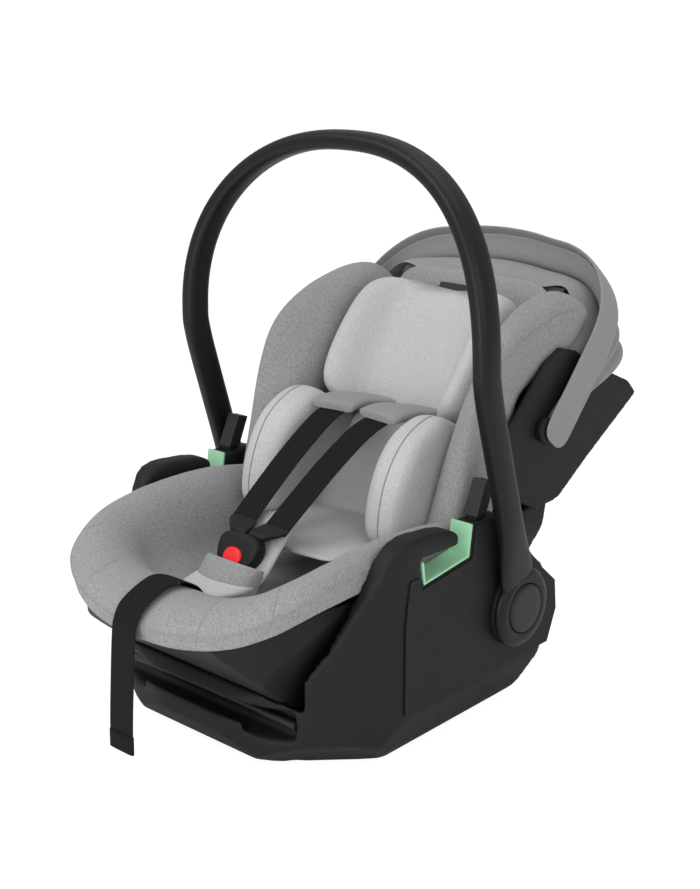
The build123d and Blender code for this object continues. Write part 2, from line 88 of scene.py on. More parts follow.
class Shader:
    """Small builder of one node material."""

    def __init__(self, name: str) -> None:
        """Makes an empty material.

        Args:
            name: The material's name.
        """
        self.material = bpy.data.materials.new(name)
        self.material.use_nodes = True
        self.tree = self.material.node_tree
        self.surface = self.tree.nodes["Principled BSDF"]
        self.where = self.add("ShaderNodeTexCoord").outputs["Object"]

    def add(self, kind: str, **values: object) -> bpy.types.Node:
        """Adds a node.

        Args:
            kind: The node's type name.
            values: Attributes set on the node.

        Returns:
            The node.
        """
        node = self.tree.nodes.new(kind)
        for key, value in values.items():
            setattr(node, key, value)
        return node

    def join(self, start: bpy.types.NodeSocket, end: bpy.types.NodeSocket) -> None:
        """Links an output to an input."""
        self.tree.links.new(start, end)

    def noise(self, scale: float, detail: float, stretch: Point = (1, 1, 1)) -> bpy.types.NodeSocket:
        """Adds a noise pattern in object space.

        Args:
            scale: Features per metre.
            detail: Octaves.
            stretch: Scale of each axis.

        Returns:
            The pattern's value.
        """
        place = self.add("ShaderNodeMapping")
        place.inputs["Scale"].default_value = stretch
        self.join(self.where, place.inputs["Vector"])
        pattern = self.add("ShaderNodeTexNoise")
        pattern.inputs["Scale"].default_value = scale
        pattern.inputs["Detail"].default_value = detail
        self.join(place.outputs["Vector"], pattern.inputs["Vector"])
        return pattern.outputs["Fac"]

    def ramp(self, value: bpy.types.NodeSocket, low: Point, high: Point,
             spread: Flat) -> bpy.types.NodeSocket:
        """Turns a value into a colour.

        Args:
            value: The pattern.
            low: Colour at the pattern's low end.
            high: Colour at its high end.
            spread: Pattern values where the colour starts and stops changing.

        Returns:
            The colour.
        """
        node = self.add("ShaderNodeValToRGB")
        for stop, at, colour in zip(node.color_ramp.elements, spread, (low, high)):
            stop.position = at
            stop.color = (*colour, 1)
        self.join(value, node.inputs["Fac"])
        return node.outputs["Color"]

    def bump(self, height: bpy.types.NodeSocket, strength: float, distance: float) -> None:
        """Roughens the surface, on top of any bump already there.

        Args:
            height: The pattern.
            strength: Share of the full bump.
            distance: Height of the bump in metres.
        """
        node = self.add("ShaderNodeBump")
        node.inputs["Strength"].default_value = strength
        node.inputs["Distance"].default_value = distance
        self.join(height, node.inputs["Height"])
        into = self.surface.inputs["Normal"]
        if into.is_linked:
            self.join(into.links[0].from_socket, node.inputs["Normal"])
        self.join(node.outputs["Normal"], into)

    def set_surface(self, values: dict[str, float]) -> None:
        """Sets inputs of the surface by their names."""
        for name, value in values.items():
            self.surface.inputs[name].default_value = value

    def tint(self, pattern: bpy.types.NodeSocket, colour: Point, factors: Flat, spread: Flat) -> None:
        """Colours the surface from a darker to a lighter tint.

        Args:
            pattern: Where it is darker or lighter.
            colour: The middle colour.
            factors: What the colour is multiplied by at the pattern's low and high end.
            spread: Pattern values where the colour starts and stops changing.
        """
        low, high = (tinted(colour, factor) for factor in factors)
        self.join(self.ramp(pattern, low, high, spread), self.surface.inputs["Base Color"])


def tinted(colour: Point, factor: float) -> Point:
    """A linear colour with each channel multiplied by a factor."""
    red, green, blue = (min(1.0, part * factor) for part in colour)
    return red, green, blue


@dataclass(frozen=True)
class Fabric:
    """Melange knit or smooth cloth."""

    name: str
    colour: Point
    contrast: float = 0.2
    thread: float = 760.0
    fuzz: float = 0.35
    fleck_stretch: Point = (1.0, 1.0, 0.55)
    fleck_spread: Flat = (0.36, 0.66)
    fuzz_ratio: float = 2.6
    fuzz_height: float = 0.0008
    dent_scale: float = 38.0
    dent_share: float = 0.12
    dent_height: float = 0.003

    def material(self) -> bpy.types.Material:
        """Makes the cloth.

        Returns:
            The material.
        """
        shader = Shader(self.name)
        flecks = shader.noise(self.thread, 3.0, self.fleck_stretch)
        shader.tint(flecks, self.colour, (1 - self.contrast, 1 + self.contrast), self.fleck_spread)
        shader.set_surface({
            "Roughness": 0.95, "Specular IOR Level": 0.15, "Sheen Weight": 0.12, "Sheen Roughness": 0.5})
        shader.bump(shader.noise(self.thread * self.fuzz_ratio, 2.0), self.fuzz, self.fuzz_height)
        shader.bump(shader.noise(self.dent_scale, 2.0), self.dent_share, self.dent_height)
        return shader.material


@dataclass(frozen=True)
class Plastic:
    """Moulded plastic with a fine grain."""

    name: str
    colour: Point
    rough: float = 0.5
    grain: float = 0.12
    gloss: float = 0.3
    cloud_scale: float = 9.0
    tints: Flat = (0.92, 1.08)
    tint_spread: Flat = (0.35, 0.65)
    shine_scale: float = 60.0
    shine_swing: float = 0.05
    grain_scale: float = 1500.0
    grain_height: float = 0.0004

    def material(self) -> bpy.types.Material:
        """Makes the plastic.

        Returns:
            The material.
        """
        shader = Shader(self.name)
        shader.tint(shader.noise(self.cloud_scale, 3.0), self.colour, self.tints, self.tint_spread)
        shine = shader.add("ShaderNodeMapRange")
        shine.inputs["To Min"].default_value = self.rough - self.shine_swing
        shine.inputs["To Max"].default_value = self.rough + self.shine_swing
        shader.join(shader.noise(self.shine_scale, 2.0), shine.inputs["Value"])
        shader.join(shine.outputs["Result"], shader.surface.inputs["Roughness"])
        shader.set_surface({"Specular IOR Level": self.gloss})
        shader.bump(shader.noise(self.grain_scale, 2.0), self.grain, self.grain_height)
        return shader.material


@dataclass(frozen=True)
class Webbing:
    """Woven belt with fine cross ribs."""

    name: str
    colour: Point
    ribs: float = 700.0
    ribs_to_scale: float = 6.28
    wander: float = 0.6
    tints: Flat = (0.8, 1.4)
    tint_spread: Flat = (0.2, 0.8)
    rib_share: float = 0.25
    rib_height: float = 0.0006

    def material(self) -> bpy.types.Material:
        """Makes the webbing.

        Returns:
            The material.
        """
        shader = Shader(self.name)
        weave = shader.add("ShaderNodeTexWave", bands_direction="DIAGONAL")
        weave.inputs["Scale"].default_value = self.ribs / self.ribs_to_scale
        weave.inputs["Distortion"].default_value = self.wander
        shader.join(shader.where, weave.inputs["Vector"])
        shader.tint(weave.outputs["Fac"], self.colour, self.tints, self.tint_spread)
        shader.set_surface({"Roughness": 0.75, "Specular IOR Level": 0.12})
        shader.bump(weave.outputs["Fac"], self.rib_share, self.rib_height)
        return shader.material


@dataclass(frozen=True)
class Metal:
    """Brushed steel."""

    name: str
    colour: Point
    brush_scale: float = 90.0
    brush_stretch: Point = (1.0, 30.0, 30.0)
    tints: Flat = (0.8, 1.15)
    tint_spread: Flat = (0.3, 0.7)

    def material(self) -> bpy.types.Material:
        """Makes the steel.

        Returns:
            The material.
        """
        shader = Shader(self.name)
        brush = shader.noise(self.brush_scale, 4.0, self.brush_stretch)
        shader.tint(brush, self.colour, self.tints, self.tint_spread)
        shader.set_surface({"Metallic": 1.0, "Roughness": 0.48})
        return shader.material


class Finishes:
    """One material for each slot of the record."""

    LOOKS = {
        Slot.BLACK: Plastic("black_grain", (0.0085, 0.0087, 0.009), 0.55, 0.12, 0.22),
        Slot.HANDLE: Plastic("handle_grain", (0.0055, 0.0056, 0.006), 0.42, 0.1, 0.25),
        Slot.GREEN: Plastic("green_smooth", (0.31, 0.61, 0.38), 0.38, 0.04),
        Slot.SLATE: Plastic("slate_smooth", (0.013, 0.0138, 0.0155), 0.42, 0.06),
        Slot.RED: Plastic("red_smooth", (0.75, 0.017, 0.021), 0.32, 0.03),
        Slot.STEEL: Metal("dark_steel", (0.06, 0.06, 0.062)),
        Slot.FOAM: Plastic("bead_foam", (0.08, 0.08, 0.08), 0.85, 0.4),
        Slot.COVER: Fabric("cover_melange", (0.26, 0.26, 0.263), 0.22),
        Slot.INSERT: Fabric("insert_melange", (0.45, 0.45, 0.455), 0.13, 820.0, 0.3),
        Slot.PAD: Fabric("pad_jersey", (0.245, 0.245, 0.25), 0.08, 700.0, 0.25),
        Slot.CANOPY: Fabric("canopy_cloth", (0.25, 0.251, 0.255), 0.07, 800.0, 0.25),
        Slot.WEB: Webbing("belt_weave", (0.007, 0.007, 0.0075)),
    }

    def __init__(self) -> None:
        """Makes the materials."""
        self.made = {slot: look.material() for slot, look in self.LOOKS.items()}

    def dress(self, piece: bpy.types.Object, slot: Slot) -> None:
        """Gives a piece its finish.

        Args:
            piece: The piece.
            slot: The finish's slot.
        """
        piece.data.materials.clear()
        piece.data.materials.append(self.made[slot])

    def dress_node(self, node: str, slot: Slot) -> bpy.types.Object:
        """Gives a shown CAD node its finish.

        Args:
            node: The node's name.
            slot: The finish's slot.

        Returns:
            The node's object.
        """
        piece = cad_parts[node]
        self.dress(piece, slot)
        return piece

    def seam(self, name: str, line: Sequence[Point], side: Point, half: float = 0.8) -> None:
        """Sews a raised seam on the seat.

        Args:
            name: The seam's name.
            line: Where it runs.
            side: Direction of its width.
            half: Half its thickness.
        """
        piping = Kit.sweep(name, line, side, half, half, 2.0, 8)
        self.dress(piping, Slot.PAD)
        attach(piping, Body.SEAT.value)


class Kit:
    """Makes and rounds meshes, with sizes in millimetres."""

    WIDE_FOLDS = 14.0
    FINE_FOLDS = (34.0, 34.0, 18.0)
    WIDE_SHARE = 0.6
    FINE_SHARE = 0.4
    EASE = 0.5
    WELD_REACH = 0.01
    FLAT_ANGLE = 1.0
    SHARP_ANGLE = 32.0

    @staticmethod
    def mesh(name: str, points: Sequence[Sequence[float]],
             faces: Sequence[Sequence[int]]) -> bpy.types.Object:
        """Makes a smooth-shaded object.

        Args:
            name: The object's name.
            points: Points in millimetres.
            faces: Corner indices of each face.

        Returns:
            The object.
        """
        data = bpy.data.meshes.new(name)
        places = [tuple(MM * part for part in point) for point in points]
        data.from_pydata(places, [], [list(face) for face in faces])
        data.validate()
        data.shade_smooth()
        piece = bpy.data.objects.new(name, data)
        bpy.context.scene.collection.objects.link(piece)
        return piece

    @staticmethod
    def quads(count: int, wide: int, span: int) -> list[tuple[int, ...]]:
        """Faces between neighbouring rows of points.

        Args:
            count: Number of rows.
            wide: Points in a row.
            span: Faces between two rows.

        Returns:
            Corner indices of each face.
        """
        return [
            (i * wide + j, i * wide + (j + 1) % wide, (i + 1) * wide + (j + 1) % wide, (i + 1) * wide + j)
            for i in range(count - 1) for j in range(span)]

    @staticmethod
    def grid(name: str, rows: Sequence[Sequence[Point]], loop: bool = False) -> bpy.types.Object:
        """Makes a sheet through rows of points.

        Args:
            name: The object's name.
            rows: Rows with equal counts.
            loop: Whether each row closes on itself.

        Returns:
            The object.
        """
        wide = len(rows[0])
        faces = Kit.quads(len(rows), wide, wide if loop else wide - 1)
        return Kit.mesh(name, [point for row in rows for point in row], faces)

    @staticmethod
    def loft(name: str, loops: Sequence[Sequence[Point]]) -> bpy.types.Object:
        """Makes a closed solid through closed loops.

        Args:
            name: The object's name.
            loops: Loops with equal counts.

        Returns:
            The object.
        """
        wide = len(loops[0])
        ring = range(wide)
        faces = Kit.quads(len(loops), wide, wide)
        points = [point for loop in loops for point in loop]
        for start, flip in ((0, True), ((len(loops) - 1) * wide, False)):
            middle = len(points)
            points.append(tuple(sum(points[start + j][k] for j in ring) / wide for k in range(3)))
            for j in ring:
                corner, after = start + j, start + (j + 1) % wide
                faces.append((after, corner, middle) if flip else (corner, after, middle))
        return Kit.mesh(name, points, faces)

    @staticmethod
    def settle(piece: bpy.types.Object) -> bpy.types.Object:
        """Turns a piece's modifiers into its mesh.

        Args:
            piece: The piece.

        Returns:
            The piece.
        """
        graph = bpy.context.evaluated_depsgraph_get()
        data = bpy.data.meshes.new_from_object(piece.evaluated_get(graph))
        piece.modifiers.clear()
        piece.data = data
        data.shade_smooth()
        return piece

    @staticmethod
    def outward(piece: bpy.types.Object) -> None:
        """Turns every face outwards.

        Args:
            piece: The piece.
        """
        bpy.context.view_layer.objects.active = piece
        bpy.ops.object.select_all(action="DESELECT")
        piece.select_set(True)
        bpy.ops.object.mode_set(mode="EDIT")
        bpy.ops.mesh.select_all(action="SELECT")
        bpy.ops.mesh.normals_make_consistent(inside=False)
        bpy.ops.object.mode_set(mode="OBJECT")

    @staticmethod
    def soft(piece: bpy.types.Object, levels: int = 2, thick: float = 0.0,
             wrinkle: float = 0.0) -> bpy.types.Object:
        """Rounds a piece and gives it cloth thickness and folds.

        Args:
            piece: The piece.
            levels: Subdivision levels.
            thick: Thickness in millimetres, or none.
            wrinkle: Height of the folds in millimetres.

        Returns:
            The piece.
        """
        Kit.outward(piece)
        if thick:
            skin = piece.modifiers.new("thick", "SOLIDIFY")
            skin.thickness = thick * MM
            skin.offset = -1
        fine = piece.modifiers.new("fine", "SUBSURF")
        fine.levels = levels
        fine.render_levels = levels
        Kit.settle(piece)
        if wrinkle:
            Kit.wrinkle(piece, wrinkle)
        return piece

    @staticmethod
    def wrinkle(piece: bpy.types.Object, height: float) -> None:
        """Raises shallow uneven folds on a mesh.

        Args:
            piece: The piece.
            height: Greatest height in millimetres.
        """
        normals = [corner.vector.copy() for corner in piece.data.vertex_normals]
        for vertex, normal in zip(piece.data.vertices, normals):
            wide = noise.noise(vertex.co * Kit.WIDE_FOLDS)
            fine = noise.noise(vertex.co * Vector(Kit.FINE_FOLDS))
            vertex.co += normal * height * MM * (Kit.WIDE_SHARE * wide + Kit.FINE_SHARE * fine)

    @staticmethod
    def melt(piece: bpy.types.Object, voxel: float, passes: int) -> None:
        """Rounds every edge of a thick moulding.

        Args:
            piece: The piece.
            voxel: Size of the cells in millimetres.
            passes: Smoothing passes.
        """
        cells = piece.modifiers.new("cells", "REMESH")
        cells.mode = "VOXEL"
        cells.voxel_size = voxel * MM
        cells.use_smooth_shade = True
        ease = piece.modifiers.new("ease", "SMOOTH")
        ease.factor = Kit.EASE
        ease.iterations = passes

    @staticmethod
    def round(piece: bpy.types.Object, width: float) -> None:
        """Rounds the sharp edges of a thin moulding.

        Args:
            piece: The piece.
            width: Radius in millimetres.
        """
        weld = piece.modifiers.new("weld", "WELD")
        weld.merge_threshold = Kit.WELD_REACH * MM
        flat = piece.modifiers.new("flat", "DECIMATE")
        flat.decimate_type = "DISSOLVE"
        flat.angle_limit = math.radians(Kit.FLAT_ANGLE)
        edge = piece.modifiers.new("edge", "BEVEL")
        edge.width = width * MM
        edge.segments = 3
        edge.limit_method = "ANGLE"
        edge.angle_limit = math.radians(Kit.SHARP_ANGLE)
        edge.harden_normals = True

    @staticmethod
    def smooth_path(points: Sequence[Point], steps: int = 6) -> list[Point]:
        """Runs a smooth line through points.

        Args:
            points: The points.
            steps: Steps between two points.

        Returns:
            The finer line.
        """
        line = [Vector(point) for point in points]
        made = []
        for i in range(len(line) - 1):
            before, start = line[max(i - 1, 0)], line[i]
            end, after = line[i + 1], line[min(i + 2, len(line) - 1)]
            for step in range(steps):
                t = step / steps
                bend = 2 * before - 5 * start + 4 * end - after
                twist = 3 * start - before - 3 * end + after
                made.append(tuple(0.5 * (2 * start + (end - before) * t + bend * t * t + twist * t ** 3)))
        made.append(tuple(line[-1]))
        return made

    @staticmethod
    def run(path: Sequence[Sequence[float]], k: int) -> Vector:
        """Direction of a line at one of its points."""
        return (Vector(path[min(k + 1, len(path) - 1)]) - Vector(path[max(k - 1, 0)])).normalized()

    @staticmethod
    def sweep(name: str, path: Sequence[Point], side: Point, half_width: float, half_thick: float,
              power: float = 4.0, count: int = 16) -> bpy.types.Object:
        """Sweeps a rounded flat section along a path.

        Args:
            name: The object's name.
            path: The centre line.
            side: Direction of the section's width.
            half_width: Half the width.
            half_thick: Half the thickness.
            power: Squareness of the section.
            count: Points around the section.

        Returns:
            The object.
        """
        loops = []
        across = Vector(side).normalized()
        for k, point in enumerate(path):
            run = Kit.run(path, k)
            wide = (across - run * across.dot(run)).normalized()
            up = run.cross(wide)
            loops.append([
                tuple(Vector(point) + wide * u * half_width + up * v * half_thick)
                for u, v in Kit.section(power, count)])
        piece = Kit.loft(name, loops)
        Kit.outward(piece)
        return piece

    @staticmethod
    def section(power: float, count: int) -> list[Flat]:
        """Points of a rounded square from -1 to 1.

        Args:
            power: Squareness.
            count: Number of points.

        Returns:
            The points.
        """
        made = []
        for k in range(count):
            turn = 2 * math.pi * (k + 0.5) / count
            c, s = math.cos(turn), math.sin(turn)
            made.append((math.copysign(abs(c) ** (2 / power), c), math.copysign(abs(s) ** (2 / power), s)))
        return made

    @staticmethod
    def rings(profile: Sequence[Flat], centre: Point, side: int, count: int) -> list[list[Point]]:
        """Circles of a profile turned about a line along X.

        Args:
            profile: (radius, distance along X from the centre) points.
            centre: Point on the line.
            side: +1 or -1, the way the distance runs.
            count: Points around.

        Returns:
            One circle for each point of the profile.
        """
        turns = [2 * math.pi * k / count for k in range(count)]
        return [
            [(centre[0] + side * out, centre[1] + radius * math.cos(t), centre[2] + radius * math.sin(t))
             for t in turns]
            for radius, out in profile]

    @staticmethod
    def lathe(name: str, profile: Sequence[Flat], centre: Point, side: int,
              count: int = 64) -> bpy.types.Object:
        """Makes a solid by turning a profile about a line along X.

        Args:
            name: The object's name.
            profile: (radius, distance along X from the centre) points.
            centre: Point on the line.
            side: +1 or -1, the way the distance runs.
            count: Points around.

        Returns:
            The object.
        """
        piece = Kit.loft(name, Kit.rings(profile, centre, side, count))
        Kit.outward(piece)
        return piece

    @staticmethod
    def snap(piece: bpy.types.Object, path: Sequence[Point], lift: float) -> list[Point]:
        """Lays a line onto a piece.

        Args:
            piece: The piece.
            path: The line.
            lift: Height over the surface in millimetres.

        Returns:
            The line on the surface.
        """
        made = []
        for point in path:
            _, place, normal, _ = piece.closest_point_on_mesh(Vector(point) * MM)
            made.append(tuple((place + normal * lift * MM) / MM))
        return made

    @staticmethod
    def join(name: str, pieces: Sequence[bpy.types.Object]) -> bpy.types.Object:
        """Makes one object of several.

        Args:
            name: The object's name.
            pieces: The pieces, which are used up.

        Returns:
            The object.
        """
        points, faces = [], []
        for piece in pieces:
            start = len(points)
            points += [tuple(vertex.co / MM) for vertex in piece.data.vertices]
            faces += [[start + corner for corner in face.vertices] for face in piece.data.polygons]
            bpy.data.objects.remove(piece)
        return Kit.mesh(name, points, faces)

    @staticmethod
    def even(points: Sequence[Point], count: int) -> list[Point]:
        """Points at even distances along a line.

        Args:
            points: The line.
            count: Number of points.

        Returns:
            The points.
        """
        runs = [0.0]
        for start, stop in zip(points, points[1:]):
            runs.append(runs[-1] + math.dist(start, stop))
        spots, k = [], 0
        for i in range(count):
            want = runs[-1] * i / (count - 1)
            while k < len(points) - 2 and runs[k + 1] < want:
                k += 1
            share = (want - runs[k]) / (runs[k + 1] - runs[k])
            spots.append(tuple(Vector(points[k]).lerp(Vector(points[k + 1]), min(1.0, share))))
        return spots

    @staticmethod
    def pattern(lines: Sequence[Sequence[Point]]) -> tuple[float, float, float]:
        """Cut size of a cloth, from its lines laid out flat side by side.

        Args:
            lines: Lines across the cloth, from one edge to the other.

        Returns:
            Width, length and area in metres.
        """
        lengths = [sum(math.dist(start, stop) for start, stop in zip(line, line[1:])) for line in lines]
        width = area = 0.0
        for k in range(len(lines) - 1):
            step = (math.dist(lines[k][0], lines[k + 1][0]) + math.dist(lines[k][-1], lines[k + 1][-1])) / 2
            width += step
            area += step * (lengths[k] + lengths[k + 1]) / 2
        return width * MM, max(lengths) * MM, area * MM * MM

    @staticmethod
    def mirror_points(rows: Sequence[Sequence[Point]]) -> list[list[Point]]:
        """Mirror image of rows of points about x = 0."""
        return [[(-x, y, z) for x, y, z in row] for row in rows]


@dataclass
class Studio:
    """Camera, floor and lights."""

    eye: Point = (1.0681, -1.1201, 0.7589)
    azimuth: float = 42.0
    elevation: float = 17.0
    lens: float = 60.74
    sensor: float = 36.0
    floor_size: float = 600.0
    floor_z: float = -0.5
    floor_tones: Flat = (0.93, 0.95)
    floor_spread: Flat = (0.3, 0.7)
    glow: float = 1.16
    glow_share: float = 0.8
    sky_levels: Flat = (0.55, 1.0)
    aim: Point = (0.0, 0.05, 0.25)
    # Name, place, size and power of each lamp
    lamps: tuple[tuple[str, Point, float, float], ...] = (
        ("key", (-0.9, -1.6, 2.3), 1.6, 28.0), ("fill", (2.2, -0.6, 1.5), 1.8, 17.0),
        ("top", (0.2, 0.6, 2.6), 1.6, 11.0), ("front", (0.5, -2.3, 0.75), 1.5, 22.0))

    def build(self) -> None:
        """Sets the stage."""
        self.camera()
        self.floor()
        self.sky()
        self.lights()
        bpy.context.scene.view_settings.view_transform = "Standard"
        LOG.info("studio made")

    def camera(self) -> None:
        """Places the camera, from a fit to the photograph."""
        data = bpy.data.cameras.new("camera")
        data.lens = self.lens
        data.sensor_width = self.sensor
        eye = bpy.data.objects.new("camera", data)
        turn, rise = math.radians(self.azimuth), math.radians(self.elevation)
        look = Vector((-math.sin(turn) * math.cos(rise), math.cos(turn) * math.cos(rise), -math.sin(rise)))
        eye.location = self.eye
        eye.rotation_euler = look.to_track_quat("-Z", "Y").to_euler()
        bpy.context.scene.collection.objects.link(eye)
        bpy.context.scene.camera = eye

    def floor(self) -> None:
        """Lays a white floor that takes a faint shadow."""
        half = self.floor_size / MM / 2
        corners = [(x * half, y * half, self.floor_z) for x, y in ((-1, -1), (1, -1), (1, 1), (-1, 1))]
        floor = Kit.mesh("floor", corners, [(0, 1, 2, 3)])
        shader = Shader("floor_white")
        shader.set_surface({"Roughness": 1.0, "Specular IOR Level": 0.0})
        low, high = ((tone, tone, tone) for tone in self.floor_tones)
        pale = shader.ramp(shader.noise(2.0, 1.0), low, high, self.floor_spread)
        shader.join(pale, shader.surface.inputs["Base Color"])
        glow = shader.add("ShaderNodeEmission")
        glow.inputs["Strength"].default_value = self.glow
        mix = shader.add("ShaderNodeMixShader")
        path = shader.add("ShaderNodeLightPath")
        share = shader.add("ShaderNodeMath", operation="MULTIPLY")
        share.inputs[1].default_value = self.glow_share
        shader.join(path.outputs["Is Camera Ray"], share.inputs[0])
        shader.join(share.outputs["Value"], mix.inputs["Fac"])
        shader.join(shader.surface.outputs["BSDF"], mix.inputs[1])
        shader.join(glow.outputs["Emission"], mix.inputs[2])
        shader.join(mix.outputs["Shader"], shader.tree.nodes["Material Output"].inputs["Surface"])
        floor.data.materials.append(shader.material)

    def sky(self) -> None:
        """Makes a white sky, dimmer as a light than it looks."""
        world = bpy.data.worlds.new("sky")
        world.use_nodes = True
        nodes, links = world.node_tree.nodes, world.node_tree.links
        sky = nodes["Background"]
        sky.inputs["Color"].default_value = (1, 1, 1, 1)
        path = nodes.new("ShaderNodeLightPath")
        level = nodes.new("ShaderNodeMapRange")
        level.inputs["To Min"].default_value, level.inputs["To Max"].default_value = self.sky_levels
        links.new(path.outputs["Is Camera Ray"], level.inputs["Value"])
        links.new(level.outputs["Result"], sky.inputs["Strength"])
        bpy.context.scene.world = world

    def lights(self) -> None:
        """Hangs four large soft lamps."""
        for name, place, size, power in self.lamps:
            data = bpy.data.lights.new(name, "AREA")
            data.size = size
            data.energy = power
            lamp = bpy.data.objects.new(name, data)
            lamp.location = place
            lamp.rotation_euler = (Vector(self.aim) - Vector(place)).to_track_quat("-Z", "Y").to_euler()
            bpy.context.scene.collection.objects.link(lamp)


@dataclass
class Base:
    """Base tub, its panels, belt guides and levers."""

    voxel: float = 3.2
    smooth_passes: int = 9
    panel_edge: float = 0.5
    boss_edge: float = 1.4
    guide_edge: float = 0.6
    lever_edge: float = 4.0

    def build(self, finishes: Finishes) -> None:
        """Dresses the base's CAD nodes.

        Args:
            finishes: The materials.
        """
        tub = finishes.dress_node("base_tub", Slot.BLACK)
        Kit.melt(tub, self.voxel, self.smooth_passes)
        for side in ("right", "left"):
            Kit.round(finishes.dress_node(f"side_panel_{side}", Slot.BLACK), self.panel_edge)
            Kit.round(finishes.dress_node(f"hub_boss_{side}", Slot.BLACK), self.boss_edge)
            Kit.round(finishes.dress_node(f"belt_guide_{side}", Slot.GREEN), self.guide_edge)
            Kit.round(finishes.dress_node(f"release_lever_{side}", Slot.SLATE), self.lever_edge)
            finishes.dress_node(f"handle_pivot_pin_{side}", Slot.STEEL)
        finishes.dress_node("front_latch_bar", Slot.STEEL)
        LOG.info("base dressed")


@dataclass
class Shell:
    """Hard bucket and rear shell with the foam inside."""

    voxel: float = 2.4
    smooth_passes: int = 6

    def build(self, finishes: Finishes) -> None:
        """Dresses the shell's CAD nodes.

        Args:
            finishes: The materials.
        """
        for node in ("seat_bucket", "back_shell"):
            Kit.melt(finishes.dress_node(node, Slot.BLACK), self.voxel, self.smooth_passes)
        for node in ("foam_liner", "back_foam"):
            finishes.dress_node(node, Slot.FOAM)
        LOG.info("shell dressed")


